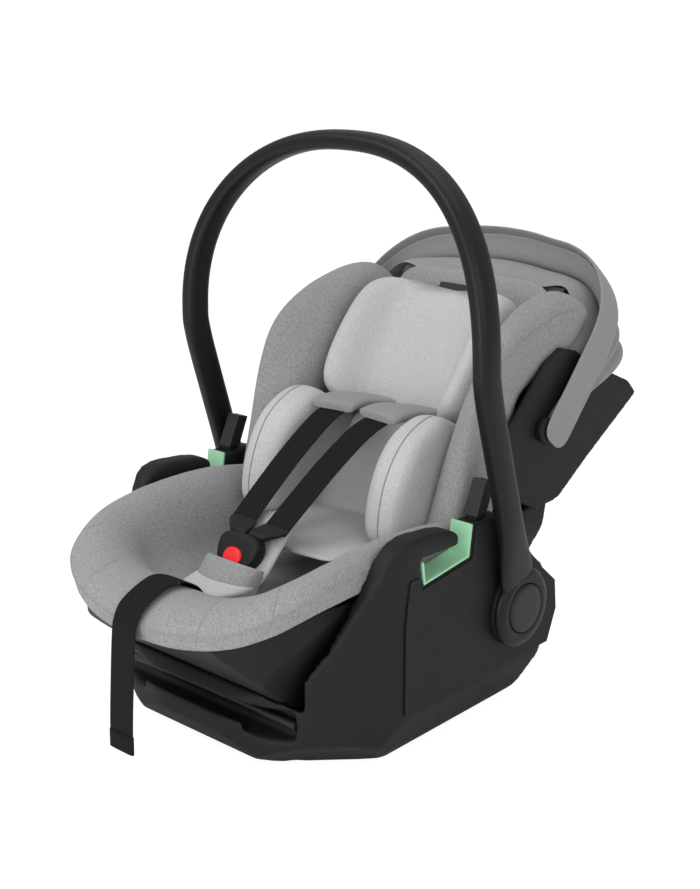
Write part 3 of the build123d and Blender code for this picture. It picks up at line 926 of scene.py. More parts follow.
@dataclass
class Handle:
    """Carry handle with its hubs and push buttons."""

    pivot: Flat = (110.0, 121.0)
    # Side view of the centre line above the hub, as (y, z)
    knee: Flat = (33.0, 379.0)
    bow: Flat = (35.0, 465.0)
    top: Flat = (72.0, 620.0)
    half_span: float = 211.5
    rise: float = 214.5
    arch_start: float = 390.0
    arch_steps: int = 24
    square: float = 2.3
    leg_foot: float = 26.0
    leg_step: float = 24.0
    leg_rows: int = 11
    half_depth: float = 16.5
    half_thick: float = 10.5
    slim_reach: float = 90.0
    foot_depth: float = 1.75
    foot_thick: float = 4.6
    foot_inset: float = 2.6
    grip_square: float = 2.7
    grip_points: int = 28
    hub_radius: float = 44.0
    hub_points: int = 72
    ring_gap: float = 0.4
    # Radius past the button's ring, and x
    hub_inner: tuple[Flat, ...] = ((0, 208.2), (0, 212.6), (0.8, 213.4), (4, 214.0))
    # Radius past the hub's edge, and x
    hub_outer: tuple[Flat, ...] = ((-7, 213.6), (-2.5, 211.8), (0, 208.6), (0, 205.2), (-1, 204.4))
    cap_radius: float = 27.0
    # Radius past the button's edge, and x
    cap_profile: tuple[Flat, ...] = (
        (-0.4, 211.2), (0, 211.8), (0, 213.6), (-1.2, 214.9), (-4, 215.4), (-14, 215.2), (-22, 215.0))

    def centre_y(self, z: float) -> float:
        """Where the handle's middle lies at a height.

        Args:
            z: The height.

        Returns:
            Its y.
        """
        if z <= self.knee[1]:
            share = (z - self.pivot[1]) / (self.knee[1] - self.pivot[1])
            return self.pivot[0] + share * (self.knee[0] - self.pivot[0])
        spots = (self.knee, self.bow, self.top)
        total = 0.0
        for i, (y, at) in enumerate(spots):
            weight = 1.0
            for j, (_, other) in enumerate(spots):
                if i != j:
                    weight *= (z - other) / (at - other)
            total += y * weight
        return total

    def line(self) -> list[Point]:
        """Centre line, from the right leg's foot over the arch to the left one.

        Returns:
            The points.
        """
        legs = [self.pivot[1] + self.leg_foot + k * self.leg_step for k in range(self.leg_rows)]
        path = [(self.half_span, self.centre_y(z), z) for z in legs if z < self.arch_start]
        for k in range(self.arch_steps + 1):
            turn = math.pi / 2 * k / self.arch_steps
            z = self.arch_start + self.rise * math.sin(turn) ** (2 / self.square)
            across = max(0.0, math.cos(turn)) ** (2 / self.square)
            path.append((self.half_span * across, self.centre_y(z), z))
        return path + [(-x, y, z) for x, y, z in reversed(path[:-1])]

    def slimness(self, point: Point) -> float:
        """How far a leg has slimmed down, from 0 at its hub to 1 along the arch.

        Args:
            point: A point of the centre line.

        Returns:
            The share.
        """
        if abs(point[0]) <= self.half_span - 1:
            return 1.0
        reach = math.hypot(point[1] - self.pivot[0], point[2] - self.pivot[1])
        share = max(0.0, min(1.0, (reach - self.leg_foot) / self.slim_reach))
        return share * share * (3 - 2 * share)

    def build(self, finishes: Finishes) -> None:
        """Makes the handle.

        Args:
            finishes: The materials.
        """
        line = self.line()
        loops = []
        for k, point in enumerate(line):
            run = Kit.run(line, k)
            deep = Vector((0, 1, 0)) - run * run.y
            deep.normalize()
            out = run.cross(deep)
            slim = self.slimness(point)
            depth = self.half_depth * (self.foot_depth - (self.foot_depth - 1) * slim)
            thick = self.foot_thick + (self.half_thick - self.foot_thick) * slim
            centre = Vector(point)
            centre.x -= math.copysign((1 - slim) * self.foot_inset, centre.x)
            loops.append([
                tuple(centre + deep * u * depth + out * v * thick)
                for u, v in Kit.section(self.grip_square, self.grip_points)])
        arch = Kit.loft("carry_handle", loops)
        Kit.soft(arch, 1)
        finishes.dress(arch, Slot.HANDLE)
        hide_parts("handle_arch")
        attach(arch, Body.HANDLE.value)
        for name, side, body in (("right", 1, Body.HUB_RIGHT), ("left", -1, Body.HUB_LEFT)):
            self.hub(finishes, name, side, body)
        LOG.info("handle made")

    def hub(self, finishes: Finishes, name: str, side: int, body: Body) -> None:
        """Makes one hub and its button.

        Args:
            finishes: The materials.
            name: Right or left.
            side: +1 or -1.
            body: The button's body.
        """
        centre = (0.0, *self.pivot)
        ring = self.cap_radius + self.ring_gap
        profile = [(ring + more, out) for more, out in self.hub_inner]
        profile += [(self.hub_radius + more, out) for more, out in self.hub_outer]
        profile += [(ring, self.hub_outer[-1][1]), profile[0]]
        circles = Kit.rings(profile, centre, side, self.hub_points)
        hub = Kit.grid(f"handle_hub_dressed_{name}", circles, True)
        Kit.outward(hub)
        finishes.dress(hub, Slot.HANDLE)
        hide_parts(f"handle_hub_{name}")
        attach(hub, Body.HANDLE.value)
        profile = [(self.cap_radius + more, out) for more, out in self.cap_profile]
        cap = Kit.lathe(f"hub_cap_{name}", profile, centre, side)
        finishes.dress(cap, Slot.SLATE)
        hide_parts(f"hub_button_{name}")
        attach(cap, body.value)


@dataclass
class BackFrame:
    """Backrest frame: s runs up the back, t stands off it."""

    foot: Flat = (126.0, 150.0)
    top: Flat = (302.0, 428.0)

    def at(self, x: float, s: float, t: float) -> Point:
        """A point from its places sideways, up the back and off the back."""
        run = Vector((self.top[0] - self.foot[0], self.top[1] - self.foot[1])).normalized()
        return x, self.foot[0] + s * run.x - t * run.y, self.foot[1] + s * run.y + t * run.x


@dataclass
class Cover:
    """Fabric cover: padded rim, bowl, side wings and back panel."""

    hem_turn: float = 7.0
    hem_lift: float = 3.0
    hem_crease: float = 0.55
    hem_rows: tuple[int, int] = (1, 2)
    # Sections from the hem over the rim into the bowl, from the front middle round to the rear
    stations: tuple[tuple[Point, ...], ...] = (
        ((0, -256, 146), (0, -259, 163), (0, -247, 178), (0, -213, 190), (0, -180, 178), (0, -168, 163),
         (0, -155, 158), (0, -118, 150), (0, -60, 142)),
        ((42, -254, 147), (43, -257, 164), (42, -245, 179), (41, -211, 191), (39, -179, 178),
         (38, -167, 163), (37, -154, 157), (35, -117, 149), (30, -60, 141)),
        ((84, -246, 152), (86, -249, 169), (84, -238, 184), (78, -207, 195), (71, -177, 181),
         (67, -165, 164), (62, -152, 156), (54, -115, 148), (46, -59, 141)),
        ((120, -231, 159), (123, -234, 177), (120, -224, 192), (109, -197, 204), (95, -169, 187),
         (89, -157, 167), (82, -146, 156), (66, -112, 148), (53, -57, 140)),
        ((147, -207, 172), (150, -210, 191), (147, -203, 206), (132, -182, 215), (112, -158, 197),
         (104, -147, 170), (96, -137, 156), (74, -104, 147), (57, -54, 139)),
        ((163, -164, 186), (167, -164, 206), (163, -161, 219), (146, -152, 225), (124, -140, 208),
         (114, -132, 174), (104, -124, 156), (78, -95, 146), (60, -48, 138)),
        ((167, -108, 192), (168.5, -107, 214), (164, -105, 227), (148, -102, 232), (127, -98, 214),
         (117, -94, 178), (107, -88, 156), (80, -70, 144), (61, -38, 137)),
        ((168, -52, 191), (168.5, -51, 215), (164, -50, 229), (148, -50, 234), (128, -50, 217),
         (118, -48, 180), (108, -45, 155), (81, -37, 143), (62, -22, 136)),
        ((168, 0, 189), (168.5, 0, 213), (164, 0, 227), (148, 0, 231), (128, 0, 215), (118, 0, 180),
         (108, 1, 154), (81, 3, 142), (62, 4, 135)),
        ((168, 44, 187), (168, 43, 206), (164, 42, 219), (148, 42, 224), (129, 41, 211), (119, 41, 180),
         (109, 43, 156), (82, 46, 145), (63, 48, 139)),
        ((165, 80, 190), (165, 78, 203), (161, 76, 213), (148, 74, 217), (130, 74, 207), (120, 76, 182),
         (110, 82, 164), (83, 88, 154), (64, 92, 151)),
    )
    # Side view of the wing's outer and inner front edges, as (y, z) from foot to top
    wing_outer: tuple[Flat, ...] = (
        (44, 196), (50, 222), (60, 262), (72, 312), (84, 352), (104, 387), (138, 410), (178, 424),
        (226, 435), (266, 433), (296, 411))
    wing_inner: tuple[Flat, ...] = (
        (40, 196), (54, 228), (68, 264), (96, 318), (118, 350), (148, 388), (172, 410), (196, 426),
        (230, 436), (266, 433), (296, 411))
    # x, share of the way from the inner to the outer edge, and depth behind it
    wing_section: tuple[tuple[float, float, float], ...] = (
        (111, 0.0, 84), (111, 0.0, 34), (118.5, 0.04, 9), (129, 0.15, 1), (138, 0.42, -3), (149, 0.8, -1),
        (157, 1.0, 2), (163, 1.0, 9), (164.5, 1.0, 20), (162, 1.0, 44), (160, 1.0, 88))
    wing_end: float = 0.55
    wing_seam_x: float = 170.0
    wing_seam_back: float = 17.0
    # Place up the back, half width and half thickness
    back_slices: tuple[tuple[float, float, float], ...] = (
        (5, 110, 4), (8, 117, 8.5), (80, 117, 8.8), (180, 117, 8.8), (275, 117, 8.6), (305, 113, 8.2),
        (322, 102, 7), (329, 84, 4))
    back_middle: float = 9.2
    cross_seams: tuple[int, ...] = (2, 4)
    stitch_points: int = 4
    stitch_skip: int = 3
    pad_edge: float = 3.0

    def build(self, finishes: Finishes) -> None:
        """Makes the cover.

        Args:
            finishes: The materials.
        """
        self.bowl(finishes)
        for name, side in (("right", 1), ("left", -1)):
            self.wing(finishes, name, side)
        Kit.round(finishes.dress_node("seat_pad", Slot.COVER), self.pad_edge)
        LOG.info("cover made")

    def backing(self, finishes: Finishes, back: BackFrame) -> None:
        """Makes the cover's back panel, round at its top.

        Args:
            finishes: The materials.
            back: The backrest frame.
        """
        loops = []
        for s, half, thick in self.back_slices:
            loops.append([
                back.at(u * half, s, self.back_middle + v * thick) for u, v in Kit.section(4.0, 28)])
        panel = Kit.loft("back_cover", loops)
        Kit.soft(panel, 1, wrinkle=1.0)
        finishes.dress(panel, Slot.COVER)
        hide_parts("back_pad")
        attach(panel, Body.SEAT.value)

    def rows(self) -> list[list[Point]]:
        """Rows of the rim and the bowl, each with its hem turned in.

        Returns:
            The rows, from the right rear round the front to the left rear.
        """
        right = []
        for station in self.stations:
            inward = Vector(station[4]) - Vector(station[1])
            inward.z = 0
            tuck = Vector(station[0]) + inward.normalized() * self.hem_turn + Vector((0, 0, self.hem_lift))
            right.append([tuple(tuck), *station])
        return [*reversed(right), *Kit.mirror_points(right)[1:]]

    def bowl(self, finishes: Finishes) -> None:
        """Makes the rim and the bowl as one sheet, with their seams.

        Args:
            finishes: The materials.
        """
        rows = self.rows()
        cover = Kit.grid("seat_cover", rows)
        crease = cover.data.attributes.new("crease_edge", "FLOAT", "EDGE")
        wide = len(rows[0])
        for edge, value in zip(cover.data.edges, crease.data):
            low, high = sorted(edge.vertices)
            if high - low == wide and low % wide in self.hem_rows:
                value.value = self.hem_crease
        Kit.soft(cover, 3, thick=3.0, wrinkle=1.6)
        finishes.dress(cover, Slot.COVER)
        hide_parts("seat_rim")
        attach(cover, Body.SEAT.value)
        hem = [row[self.hem_rows[1]] for row in rows]
        finishes.seam("rim_seam", Kit.snap(cover, Kit.smooth_path(hem, 6), 0.1), (0, 0, 1))
        for k in self.cross_seams:
            for name, side in (("right", 1), ("left", -1)):
                line = [(side * x, y, z) for x, y, z in self.stations[k][:self.stitch_points]]
                line = Kit.snap(cover, Kit.smooth_path(line, 5)[self.stitch_skip:], 0.0)
                finishes.seam(f"rim_stitch_{k}_{name}", line, (0, 1, 0), 0.6)

    def wing(self, finishes: Finishes, name: str, side: int) -> None:
        """Makes one side wing and its seam.

        Args:
            finishes: The materials.
            name: Right or left.
            side: +1 or -1.
        """
        loops, seam = [], []
        last = len(self.wing_outer) - 1
        for k, (outer, inner) in enumerate(zip(self.wing_outer, self.wing_inner)):
            run = Vector(self.wing_outer[min(k + 1, last)]) - Vector(self.wing_outer[max(k - 1, 0)])
            back = Vector((run.y, -run.x)).normalized()
            size = self.wing_end if k in (0, last) else 1.0
            loop = []
            for x, share, depth in self.wing_section:
                place = Vector(inner).lerp(Vector(outer), share) + back * depth * size
                loop.append((side * x, place.x, place.y))
            loops.append(loop)
            seam.append((side * self.wing_seam_x, *(Vector(outer) + back * self.wing_seam_back)))
        wing = Kit.loft(f"wing_cover_{name}", loops)
        Kit.soft(wing, 2, wrinkle=1.2)
        finishes.dress(wing, Slot.COVER)
        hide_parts(f"side_wing_{name}")
        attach(wing, Body.SEAT.value)
        line = Kit.snap(wing, Kit.smooth_path(seam[1:-1], 6), 0.1)
        finishes.seam(f"wing_seam_{name}", line, (1, 0, 0))


@dataclass
class Headrest:
    """Headrest pillow with an ear on each side."""

    low: float = 126.0
    high: float = 292.0
    face: float = 23.5
    lever_edge: float = 2.0
    # x and distance off the back, round the pillow
    section: tuple[Flat, ...] = (
        (-104, 26), (-110, 60), (-106, 92), (-94, 100), (-80, 92), (-66, 68), (-52, 56), (-30, 53),
        (0, 52), (30, 53), (52, 56), (66, 68), (80, 92), (94, 100), (106, 92), (110, 60), (104, 26),
        (60, 24), (0, 24), (-60, 24))
    # Share of the height, of the depth and of the width
    slices: tuple[Point, ...] = (
        (0.0, 0.62, 0.8), (0.035, 0.86, 0.9), (0.13, 1.0, 0.97), (0.3, 1.0, 1.0), (0.5, 0.98, 1.0),
        (0.72, 0.92, 0.98), (0.88, 0.8, 0.94), (0.965, 0.62, 0.86), (1.0, 0.45, 0.76))

    def build(self, finishes: Finishes, back: BackFrame) -> None:
        """Makes the pillow.

        Args:
            finishes: The materials.
            back: The backrest frame.
        """
        loops = []
        for share, depth, width in self.slices:
            s = self.low + share * (self.high - self.low)
            loops.append([
                back.at(x * width, s, self.face + (t - self.face) * depth) for x, t in self.section])
        pillow = Kit.loft("headrest_pillow", loops)
        Kit.soft(pillow, 2, wrinkle=1.6)
        finishes.dress(pillow, Slot.INSERT)
        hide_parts("headrest_pad")
        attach(pillow, Body.HEADREST.value)
        finishes.dress_node("headrest_plate", Slot.BLACK)
        Kit.round(finishes.dress_node("headrest_lever", Slot.SLATE), self.lever_edge)
        LOG.info("headrest made")


@dataclass
class Insert:
    """Newborn insert: back and seat cushion with a lobe on each side."""

    half: float = 78.0
    # Side view of a lobe's front, as (y, z) from its top to its foot
    lobe_front: tuple[Flat, ...] = (
        (100, 318), (78, 318), (53, 308), (36, 296), (22, 278), (10, 256), (3, 232), (0, 210), (3, 194),
        (18, 182), (44, 172), (70, 165))
    # Places up the back where a lobe's rear rests, and its top corner
    lobe_rear: tuple[float, ...] = (8, 40, 80, 112, 126)
    lobe_rear_off: float = 19.0
    lobe_top: Flat = (127, 60)
    # x and share of the outline
    lobe_slices: tuple[Flat, ...] = (
        (66, 0.7), (70, 0.86), (79, 0.97), (91, 1.0), (104, 1.0), (112, 0.96), (116.5, 0.84), (117.5, 0.7))
    # Place up the back, distance off it and half thickness
    cushion_line: tuple[tuple[float, float, float], ...] = (
        (126, 27, 6), (122, 33, 11), (100, 41, 16), (60, 44, 18), (24, 44, 17), (4, 48, 13), (-4, 57, 10),
        (-10, 76, 8), (-22, 100, 6.5), (-42, 132, 6), (-60, 160, 5), (-66, 171, 2.5))
    seam_points: int = 9
    seam_x: float = 97.0
    seam_shift: Flat = (-12, 6)

    def build(self, finishes: Finishes, back: BackFrame) -> None:
        """Makes the insert.

        Args:
            finishes: The materials.
            back: The backrest frame.
        """
        pieces = [self.cushion(back), self.lobe(back, 1), self.lobe(back, -1)]
        insert = Kit.join("newborn_cushion", pieces)
        Kit.wrinkle(insert, 1.8)
        finishes.dress(insert, Slot.INSERT)
        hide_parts("newborn_insert")
        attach(insert, Body.SEAT.value)
        ahead, up = self.seam_shift
        for side, name in ((1, "right"), (-1, "left")):
            crest = [(side * self.seam_x, y + ahead, z + up) for y, z in self.lobe_front[:self.seam_points]]
            line = Kit.snap(insert, Kit.smooth_path(crest, 6), 0.1)
            finishes.seam(f"insert_seam_{name}", line, (1, 0, 0))
        LOG.info("insert made")

    def lobe(self, back: BackFrame, side: int) -> bpy.types.Object:
        """Makes one lobe.

        Args:
            back: The backrest frame.
            side: +1 or -1.

        Returns:
            The lobe.
        """
        rear = [back.at(0, s, self.lobe_rear_off)[1:] for s in self.lobe_rear]
        outline = [*rear, back.at(0, *self.lobe_top)[1:], *self.lobe_front]
        count = len(outline)
        centre = Vector((sum(y for y, _ in outline) / count, sum(z for _, z in outline) / count))
        loops = []
        for x, size in self.lobe_slices:
            loops.append([(side * x, *(centre + (Vector(spot) - centre) * size)) for spot in outline])
        return Kit.soft(Kit.loft("lobe", loops), 2)

    def cushion(self, back: BackFrame) -> bpy.types.Object:
        """Makes the middle cushion, from the back down onto the seat.

        Args:
            back: The backrest frame.

        Returns:
            The cushion.
        """
        spots = [Vector(back.at(0, s, t)) for s, t, _ in self.cushion_line]
        loops = []
        for k, (spot, (_, _, thick)) in enumerate(zip(spots, self.cushion_line)):
            up = Vector((1, 0, 0)).cross(Kit.run(spots, k))
            loops.append([
                tuple(spot + Vector((u * self.half, 0, 0)) + up * v * thick)
                for u, v in Kit.section(3.0, 24)])
        return Kit.soft(Kit.loft("middle", loops), 2)


@dataclass
class Harness:
    """Straps, pads, buckle and front pull strap."""

    web_half: float = 17.5
    web_thick: float = 0.8
    strap_x: Flat = (40.0, 24.0)
    # Side view of a shoulder strap, as (y, z) from the backrest to the tongue
    strap_line: tuple[Flat, ...] = (
        (172, 287), (140, 296), (100, 305), (72, 303), (44, 293), (0, 268), (-46, 237), (-80, 212.5))
    pad_half: float = 29.0
    pad_thick: float = 6.5
    pad_lift: float = 4.5
    pad_points: int = 4
    # x, place up the buckle, place out of it, half width and half thickness
    tongue: tuple[tuple[float, float, float, float, float], ...] = (
        (12.5, 38, -7.5, 10, 4.5), (14, 43, -8, 12.5, 5), (18, 48, -12.5, 16.5, 4.4),
        (22, 52.5, -17.5, 19, 3.4), (23.6, 57, -21, 19, 2.6), (24, 59, -22.4, 18.4, 1.8))
    tongue_tilt: Flat = (0.55, 0.83)
    # y, z, half width and half thickness
    crotch_line: tuple[tuple[float, float, float, float], ...] = (
        (-176, 166, 18, 2.5), (-166, 168, 30, 5), (-144, 166, 38, 7), (-120, 168, 40, 7.5),
        (-104, 174, 38, 7), (-86, 190, 35, 6.5), (-66, 205, 33, 6), (-50, 216, 26, 5), (-44, 219, 14, 2.5))
    # Place up the buckle and place out of it
    pouch_rows: tuple[Flat, ...] = ((-24, 23), (-15, 20.5), (-6, 17), (3, 13), (9, 10), (11, 8.5))
    pouch_half: float = 40.0
    pouch_back: float = 9.0
    pouch_round: float = 0.6
    pouch_steps: int = 12
    buckle_face: tuple[Flat, Flat] = ((-122, 176), (-101, 214))
    # Place out of the buckle's face and share of the outline
    housing_slices: tuple[Flat, ...] = (
        (-17, 0.86), (-15, 0.96), (-8, 1.0), (-1, 1.0), (1.2, 0.95), (2.2, 0.84))
    housing_half: float = 28.0
    housing_flare: float = 4.0
    housing_middle: float = 21.5
    housing_rise: float = 21.0
    # Place out of the buckle's face and share of the outline
    button_slices: tuple[Flat, ...] = ((1.0, 1.0), (3.6, 1.0), (4.8, 0.93), (5.4, 0.75))
    button_half: float = 12.5
    button_middle: float = 15.0
    button_rise: float = 10.5
    # Side view of the pull strap, as (y, z) from under the crotch pad to the free end
    pull_line: tuple[Flat, ...] = (
        (-172, 168), (-184, 183), (-213, 193.5), (-249, 181), (-262, 165), (-266, 145), (-270, 100),
        (-273, 60), (-274, 29))
    pull_end_points: int = 5
    pull_end_more: float = 0.3
    pull_end_thick: float = 2.2

    def build(self, finishes: Finishes) -> None:
        """Makes the harness.

        Args:
            finishes: The materials.
        """
        for name, side in (("right", 1), ("left", -1)):
            self.shoulder(finishes, name, side)
        self.crotch(finishes)
        self.pouch(finishes)
        self.buckle(finishes)
        self.pull(finishes)
        LOG.info("harness made")

    def across(self, share: float, side: int) -> float:
        """Sideways place of a shoulder strap, at a share of its length."""
        return side * (self.strap_x[0] + (self.strap_x[1] - self.strap_x[0]) * share)

    def on_buckle(self, x: float, up: float, out: float) -> Point:
        """A point from the buckle's own frame.

        Args:
            x: Sideways.
            up: Along its face.
            out: Out of its face.

        Returns:
            The point.
        """
        (low_y, low_z), (high_y, high_z) = self.buckle_face
        run = Vector((high_y - low_y, high_z - low_z)).normalized()
        return x, low_y + up * run.x - out * run.y, low_z + up * run.y + out * run.x

    def shoulder(self, finishes: Finishes, name: str, side: int) -> None:
        """Makes one shoulder strap, its pad and its tongue.

        Args:
            finishes: The materials.
            name: Right or left.
            side: +1 or -1.
        """
        last = len(self.strap_line) - 1
        path = [(self.across(k / last, side), y, z) for k, (y, z) in enumerate(self.strap_line)]
        line = Kit.smooth_path(path, 6)
        strap = Kit.sweep(f"strap_{name}", line, (1, 0, 0), self.web_half, self.web_thick)
        finishes.dress(strap, Slot.WEB)
        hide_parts(f"shoulder_strap_{name}")
        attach(strap, Body.SEAT.value)
        line = [(x, y, z + self.pad_lift) for x, y, z in Kit.smooth_path(path[:self.pad_points], 5)]
        pad = Kit.sweep(f"shoulder_cushion_{name}", line, (1, 0, 0), self.pad_half, self.pad_thick, 3.0, 20)
        Kit.soft(pad, 1, wrinkle=1.0)
        finishes.dress(pad, Slot.PAD)
        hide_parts(f"shoulder_pad_{name}")
        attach(pad, Body.SEAT.value)
        rise, lean = self.tongue_tilt
        loops = []
        for x, up, out, half, thick in self.tongue:
            loops.append([
                self.on_buckle(side * (x + u * half), up + rise * v * thick, out + lean * v * thick)
                for u, v in Kit.section(3.0, 24)])
        tongue = Kit.soft(Kit.loft(f"tongue_{name}", loops), 1)
        finishes.dress(tongue, Slot.BLACK)
        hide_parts(f"buckle_tongue_{name}")
        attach(tongue, Body.SEAT.value)

    def crotch(self, finishes: Finishes) -> None:
        """Makes the crotch pad.

        Args:
            finishes: The materials.
        """
        path = [(0, y, z) for y, z, _, _ in self.crotch_line]
        loops = []
        for k, (point, (_, _, half, thick)) in enumerate(zip(path, self.crotch_line)):
            up = Kit.run(path, k).cross(Vector((1, 0, 0)))
            loops.append([
                tuple(Vector(point) + Vector((u * half, 0, 0)) + up * v * thick)
                for u, v in Kit.section(2.6, 20)])
        pad = Kit.loft("crotch_cushion", loops)
        Kit.soft(pad, 2, wrinkle=1.0)
        finishes.dress(pad, Slot.INSERT)
        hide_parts("crotch_pad")
        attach(pad, Body.SEAT.value)

    def pouch(self, finishes: Finishes) -> None:
        """Makes the pouch that holds the buckle.

        Args:
            finishes: The materials.
        """
        turns = [math.pi * (k / self.pouch_steps - 0.5) for k in range(self.pouch_steps + 1)]
        rows = []
        for up, out in self.pouch_rows:
            row = []
            for turn in turns:
                bulge = max(0.0, math.cos(turn)) ** self.pouch_round
                place = (out + self.pouch_back) * bulge - self.pouch_back
                row.append(self.on_buckle(self.pouch_half * math.sin(turn), up, place))
            rows.append(row)
        pouch = Kit.grid("buckle_pouch", rows)
        Kit.soft(pouch, 2, thick=2.2, wrinkle=0.6)
        finishes.dress(pouch, Slot.COVER)
        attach(pouch, Body.SEAT.value)

    def buckle(self, finishes: Finishes) -> None:
        """Makes the buckle and its red button.

        Args:
            finishes: The materials.
        """
        loops = []
        for out, size in self.housing_slices:
            loops.append([
                self.on_buckle(u * size * (self.housing_half + self.housing_flare * v),
                               self.housing_middle + v * self.housing_rise * size, out)
                for u, v in Kit.section(2.8, 32)])
        housing = Kit.loft("buckle_body", loops)
        Kit.soft(housing, 1)
        finishes.dress(housing, Slot.BLACK)
        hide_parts("buckle_housing")
        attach(housing, Body.SEAT.value)
        loops = []
        for out, size in self.button_slices:
            loops.append([
                self.on_buckle(u * size * self.button_half,
                               self.button_middle + v * size * self.button_rise, out)
                for u, v in Kit.section(2.2, 32)])
        button = Kit.loft("red_button", loops)
        Kit.outward(button)
        finishes.dress(button, Slot.RED)
        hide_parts("buckle_button")
        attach(button, Body.BUCKLE.value)

    def pull(self, finishes: Finishes) -> None:
        """Makes the front pull strap with its folded end.

        Args:
            finishes: The materials.
        """
        path = Kit.smooth_path([(0, y, z) for y, z in self.pull_line], 6)
        strap = Kit.sweep("pull_strap", path, (1, 0, 0), self.web_half, self.web_thick)
        finishes.dress(strap, Slot.WEB)
        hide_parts("adjuster_strap")
        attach(strap, Body.SEAT.value)
        end = Kit.sweep("pull_strap_end", path[-self.pull_end_points:], (1, 0, 0),
                        self.web_half + self.pull_end_more, self.pull_end_thick)
        finishes.dress(end, Slot.WEB)
        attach(end, Body.SEAT.value)


@dataclass
class Canopy:
    """Folded sun canopy of pleated cloth on three bows."""

    pivot: Flat = (194.0, 294.0)
    half: float = 175.0
    reach: float = 233.0
    corner: float = 104.0
    crown: float = 8.0
    eye: float = 16.0
    leg_rows: int = 5
    corner_rows: int = 9
    crown_rows: int = 4
    rear: float = 17.0
    mid: float = 34.0
    front: float = 50.5
    band: float = 3.0
    pleat_rows: int = 8
    pleat_draw: float = 0.25
    blend_radius: float = 90.0
    inner_angle: float = 35.0
    inner_hoop: Flat = (0.97, 0.95)
    inner_rise: float = 20.0
    inner_lines: int = 28
    inner_rows: int = 6
    # Lower edge of the inner cloth, from the pivot to the middle
    inner_foot: tuple[Point, ...] = (
        (169, 197, 297), (166, 220, 324), (160, 243, 354), (152, 263, 384), (142, 280, 408),
        (132, 292, 425), (122, 297, 432), (108, 297, 432), (90, 295, 427), (50, 292, 421), (0, 292, 421))
    strip_half: float = 24.0
    strip_thick: float = 2.0
    strip_lift: float = 1.2
    strip_set: float = 0.6
    strip_set_reach: float = 300.0
    # Distance past the arch's side, radius and share of the width, round the pivot
    strip_end: tuple[Point, ...] = (
        (4, -9, 0.35), (4, -7.5, 0.6), (4, -3, 0.86), (4, 6, 1.0), (3.5, 24, 1.0))
    # Distance past the arch's side and share of its straight part
    strip_leg: tuple[Flat, ...] = ((3, 0.46), (2.2, 0.72), (1.6, 0.9))
    pivot_edge: float = 2.0

    def arch(self) -> list[Flat]:
        """Half the arch, from the pivot end to the middle.

        Returns:
            (x, radius) points.
        """
        inner, side = self.half - self.corner, self.reach - self.corner
        line = [(self.half, self.eye + k * (side - self.eye) / self.leg_rows) for k in range(self.leg_rows)]
        for k in range(self.corner_rows):
            turn = math.pi / 2 * k / (self.corner_rows - 1)
            line.append((inner + self.corner * math.cos(turn), side + self.corner * math.sin(turn)))
        for k in range(1, self.crown_rows + 1):
            out = 1 - k / self.crown_rows
            line.append((inner * out, self.reach + self.crown * (1 - out ** 2)))
        return line

    def place(self, x: float, radius: float, angle: float) -> Point:
        """A point from its place sideways, off the pivot line and in degrees up from the rear."""
        turn = math.radians(angle)
        return x, self.pivot[0] + radius * math.cos(turn), self.pivot[1] + radius * math.sin(turn)

    def sheet(self, name: str, low: float, high: float, pleats: int, depth: float) -> bpy.types.Object:
        """Makes pleated cloth between two angles.

        Args:
            name: The piece's name.
            low: First angle.
            high: Last angle.
            pleats: Number of pleats.
            depth: Pleat depth as a share of the radius.

        Returns:
            The piece.
        """
        half = self.arch()
        whole = half + [(-x, r) for x, r in reversed(half[:-1])]
        rows = []
        steps = pleats * self.pleat_rows
        for i in range(steps + 1):
            share = i / steps
            angle = low + share * (high - low)
            dip = 1 - depth * (0.5 - 0.5 * math.cos(2 * math.pi * pleats * share))
            draw = 1 - self.pleat_draw * (1 - dip)
            rows.append([self.place(x * draw, r * dip, angle) for x, r in whole])
        cloth = Kit.soft(Kit.grid(name, rows), 1, thick=2.0, wrinkle=0.8)
        self.declare(cloth, list(zip(*rows)), "folded", ["canopy_pivot_right", "canopy_pivot_left"])
        return cloth

    @staticmethod
    def declare(cloth: bpy.types.Object, lines: Sequence[Sequence[Point]], held: str,
                rests_on: list[str]) -> None:
        """Logs the size a cloth was cut to.

        Args:
            cloth: The cloth.
            lines: Lines across it, before it was smoothed.
            held: Not used.
            rests_on: Not used.
        """
        width, length, area = Kit.pattern(lines)
        LOG.info("%s cut from %.3f by %.3f m, %.4f m2", cloth.name, width, length, area)

    def inner(self, finishes: Finishes) -> None:
        """Makes the smooth inner cloth between the rear bow and the backrest.

        Args:
            finishes: The materials.
        """
        wide, tall = self.inner_hoop
        hoop = [self.place(x * wide, radius * tall, self.inner_angle) for x, radius in self.arch()]
        feet = Kit.even(Kit.smooth_path(self.inner_foot, 6), self.inner_lines)
        lines = []
        for edge, foot in zip(Kit.even(hoop, self.inner_lines), feet):
            rise = self.inner_rise * (1 - (edge[0] / self.half) ** 2)
            line = []
            for step in range(self.inner_rows + 1):
                share = step / self.inner_rows
                lift = Vector((0, 0, rise * math.sin(math.pi * step / self.inner_rows)))
                line.append(tuple(Vector(edge).lerp(Vector(foot), share) + lift))
            lines.append(line)
        lines += Kit.mirror_points(list(reversed(lines[:-1])))
        cloth = Kit.soft(Kit.grid("canopy_inner_cloth", lines), 1, thick=1.6, wrinkle=0.8)
        finishes.dress(cloth, Slot.CANOPY)
        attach(cloth, Body.SEAT.value)
        self.declare(cloth, lines, "stretched", ["back_shell"])

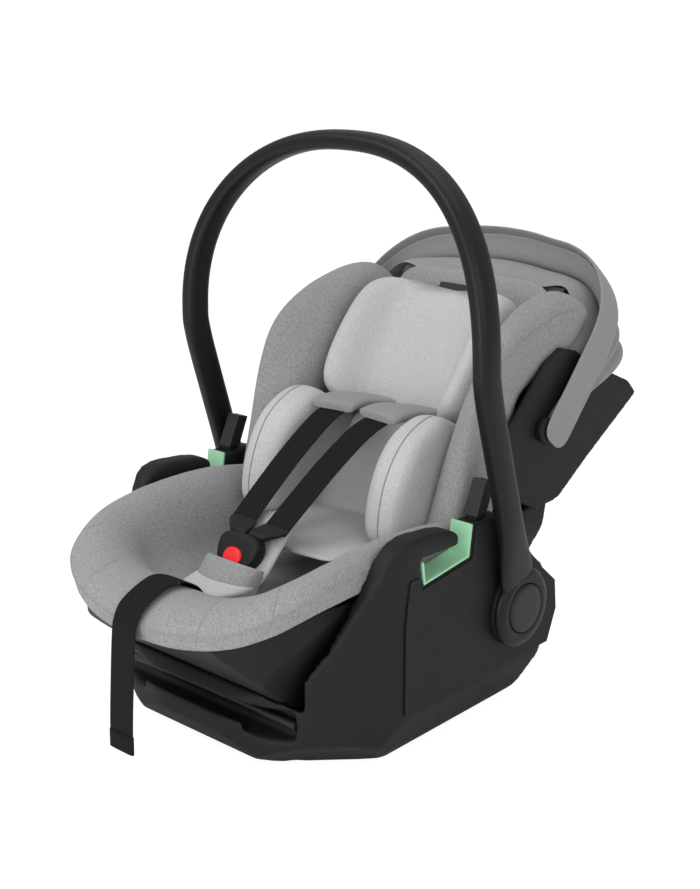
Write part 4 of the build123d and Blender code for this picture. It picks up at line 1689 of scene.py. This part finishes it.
    def strip(self) -> bpy.types.Object:
        """Makes the padded front strip, whose round ends lie over the pivots.

        Returns:
            The strip.
        """
        turn = math.radians(self.front)
        run = Vector((0, math.cos(turn), math.sin(turn)))
        back = Vector((0, math.sin(turn), -math.cos(turn)))
        side = self.reach - self.corner
        half = [(self.half + out, radius, wide) for out, radius, wide in self.strip_end]
        half += [(self.half + out, share * side, 1.0) for out, share in self.strip_leg]
        half += [(x + self.strip_lift, r + self.strip_lift, 1.0) for x, r in self.arch()[self.leg_rows:]]
        whole = half + [(-x, radius, wide) for x, radius, wide in reversed(half[:-1])]
        spots = []
        for x, radius, _ in whole:
            share = min(1.0, self.strip_set + radius / self.strip_set_reach)
            spots.append(Vector((x, *self.pivot)) + run * radius + back * self.strip_half * share)
        loops = []
        for k, (spot, (_, _, wide)) in enumerate(zip(spots, whole)):
            out = Kit.run(spots, k).cross(back)
            loops.append([
                tuple(spot + back * u * self.strip_half * wide + out * v * self.strip_thick * max(0.6, wide))
                for u, v in Kit.section(3.0, 20)])
        return Kit.soft(Kit.loft("canopy_rim_band", loops), 1, wrinkle=0.8)

    def build(self, finishes: Finishes) -> None:
        """Makes the canopy.

        Args:
            finishes: The materials.
        """
        rear = self.sheet("canopy_back_cloth", self.rear, self.mid, 2, 0.10)
        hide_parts("canopy_rear_bow", "canopy_cloth_rear")
        front = self.sheet("canopy_front_panel", self.mid, self.front - self.band, 1, 0.08)
        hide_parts("canopy_mid_bow", "canopy_cloth_front")
        band = self.strip()
        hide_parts("canopy_front_bow")
        for piece in (rear, front, band):
            finishes.dress(piece, Slot.CANOPY)
        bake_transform(rear)
        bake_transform(front)
        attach(band, Body.CANOPY_FRONT.value)
        self.inner(finishes)
        for side in ("right", "left"):
            Kit.round(finishes.dress_node(f"canopy_pivot_{side}", Slot.BLACK), self.pivot_edge)
        LOG.info("canopy made")


def main() -> None:
    """Builds every piece in order."""
    logging.basicConfig(level=logging.INFO)
    Studio().build()
    finishes = Finishes()
    back = BackFrame()
    Base().build(finishes)
    Shell().build(finishes)
    Handle().build(finishes)
    cover = Cover()
    cover.build(finishes)
    cover.backing(finishes, back)
    Insert().build(finishes, back)
    Headrest().build(finishes, back)
    Harness().build(finishes)
    Canopy().build(finishes)
    LOG.info("scene made")


if __name__ == "__main__":
    main()
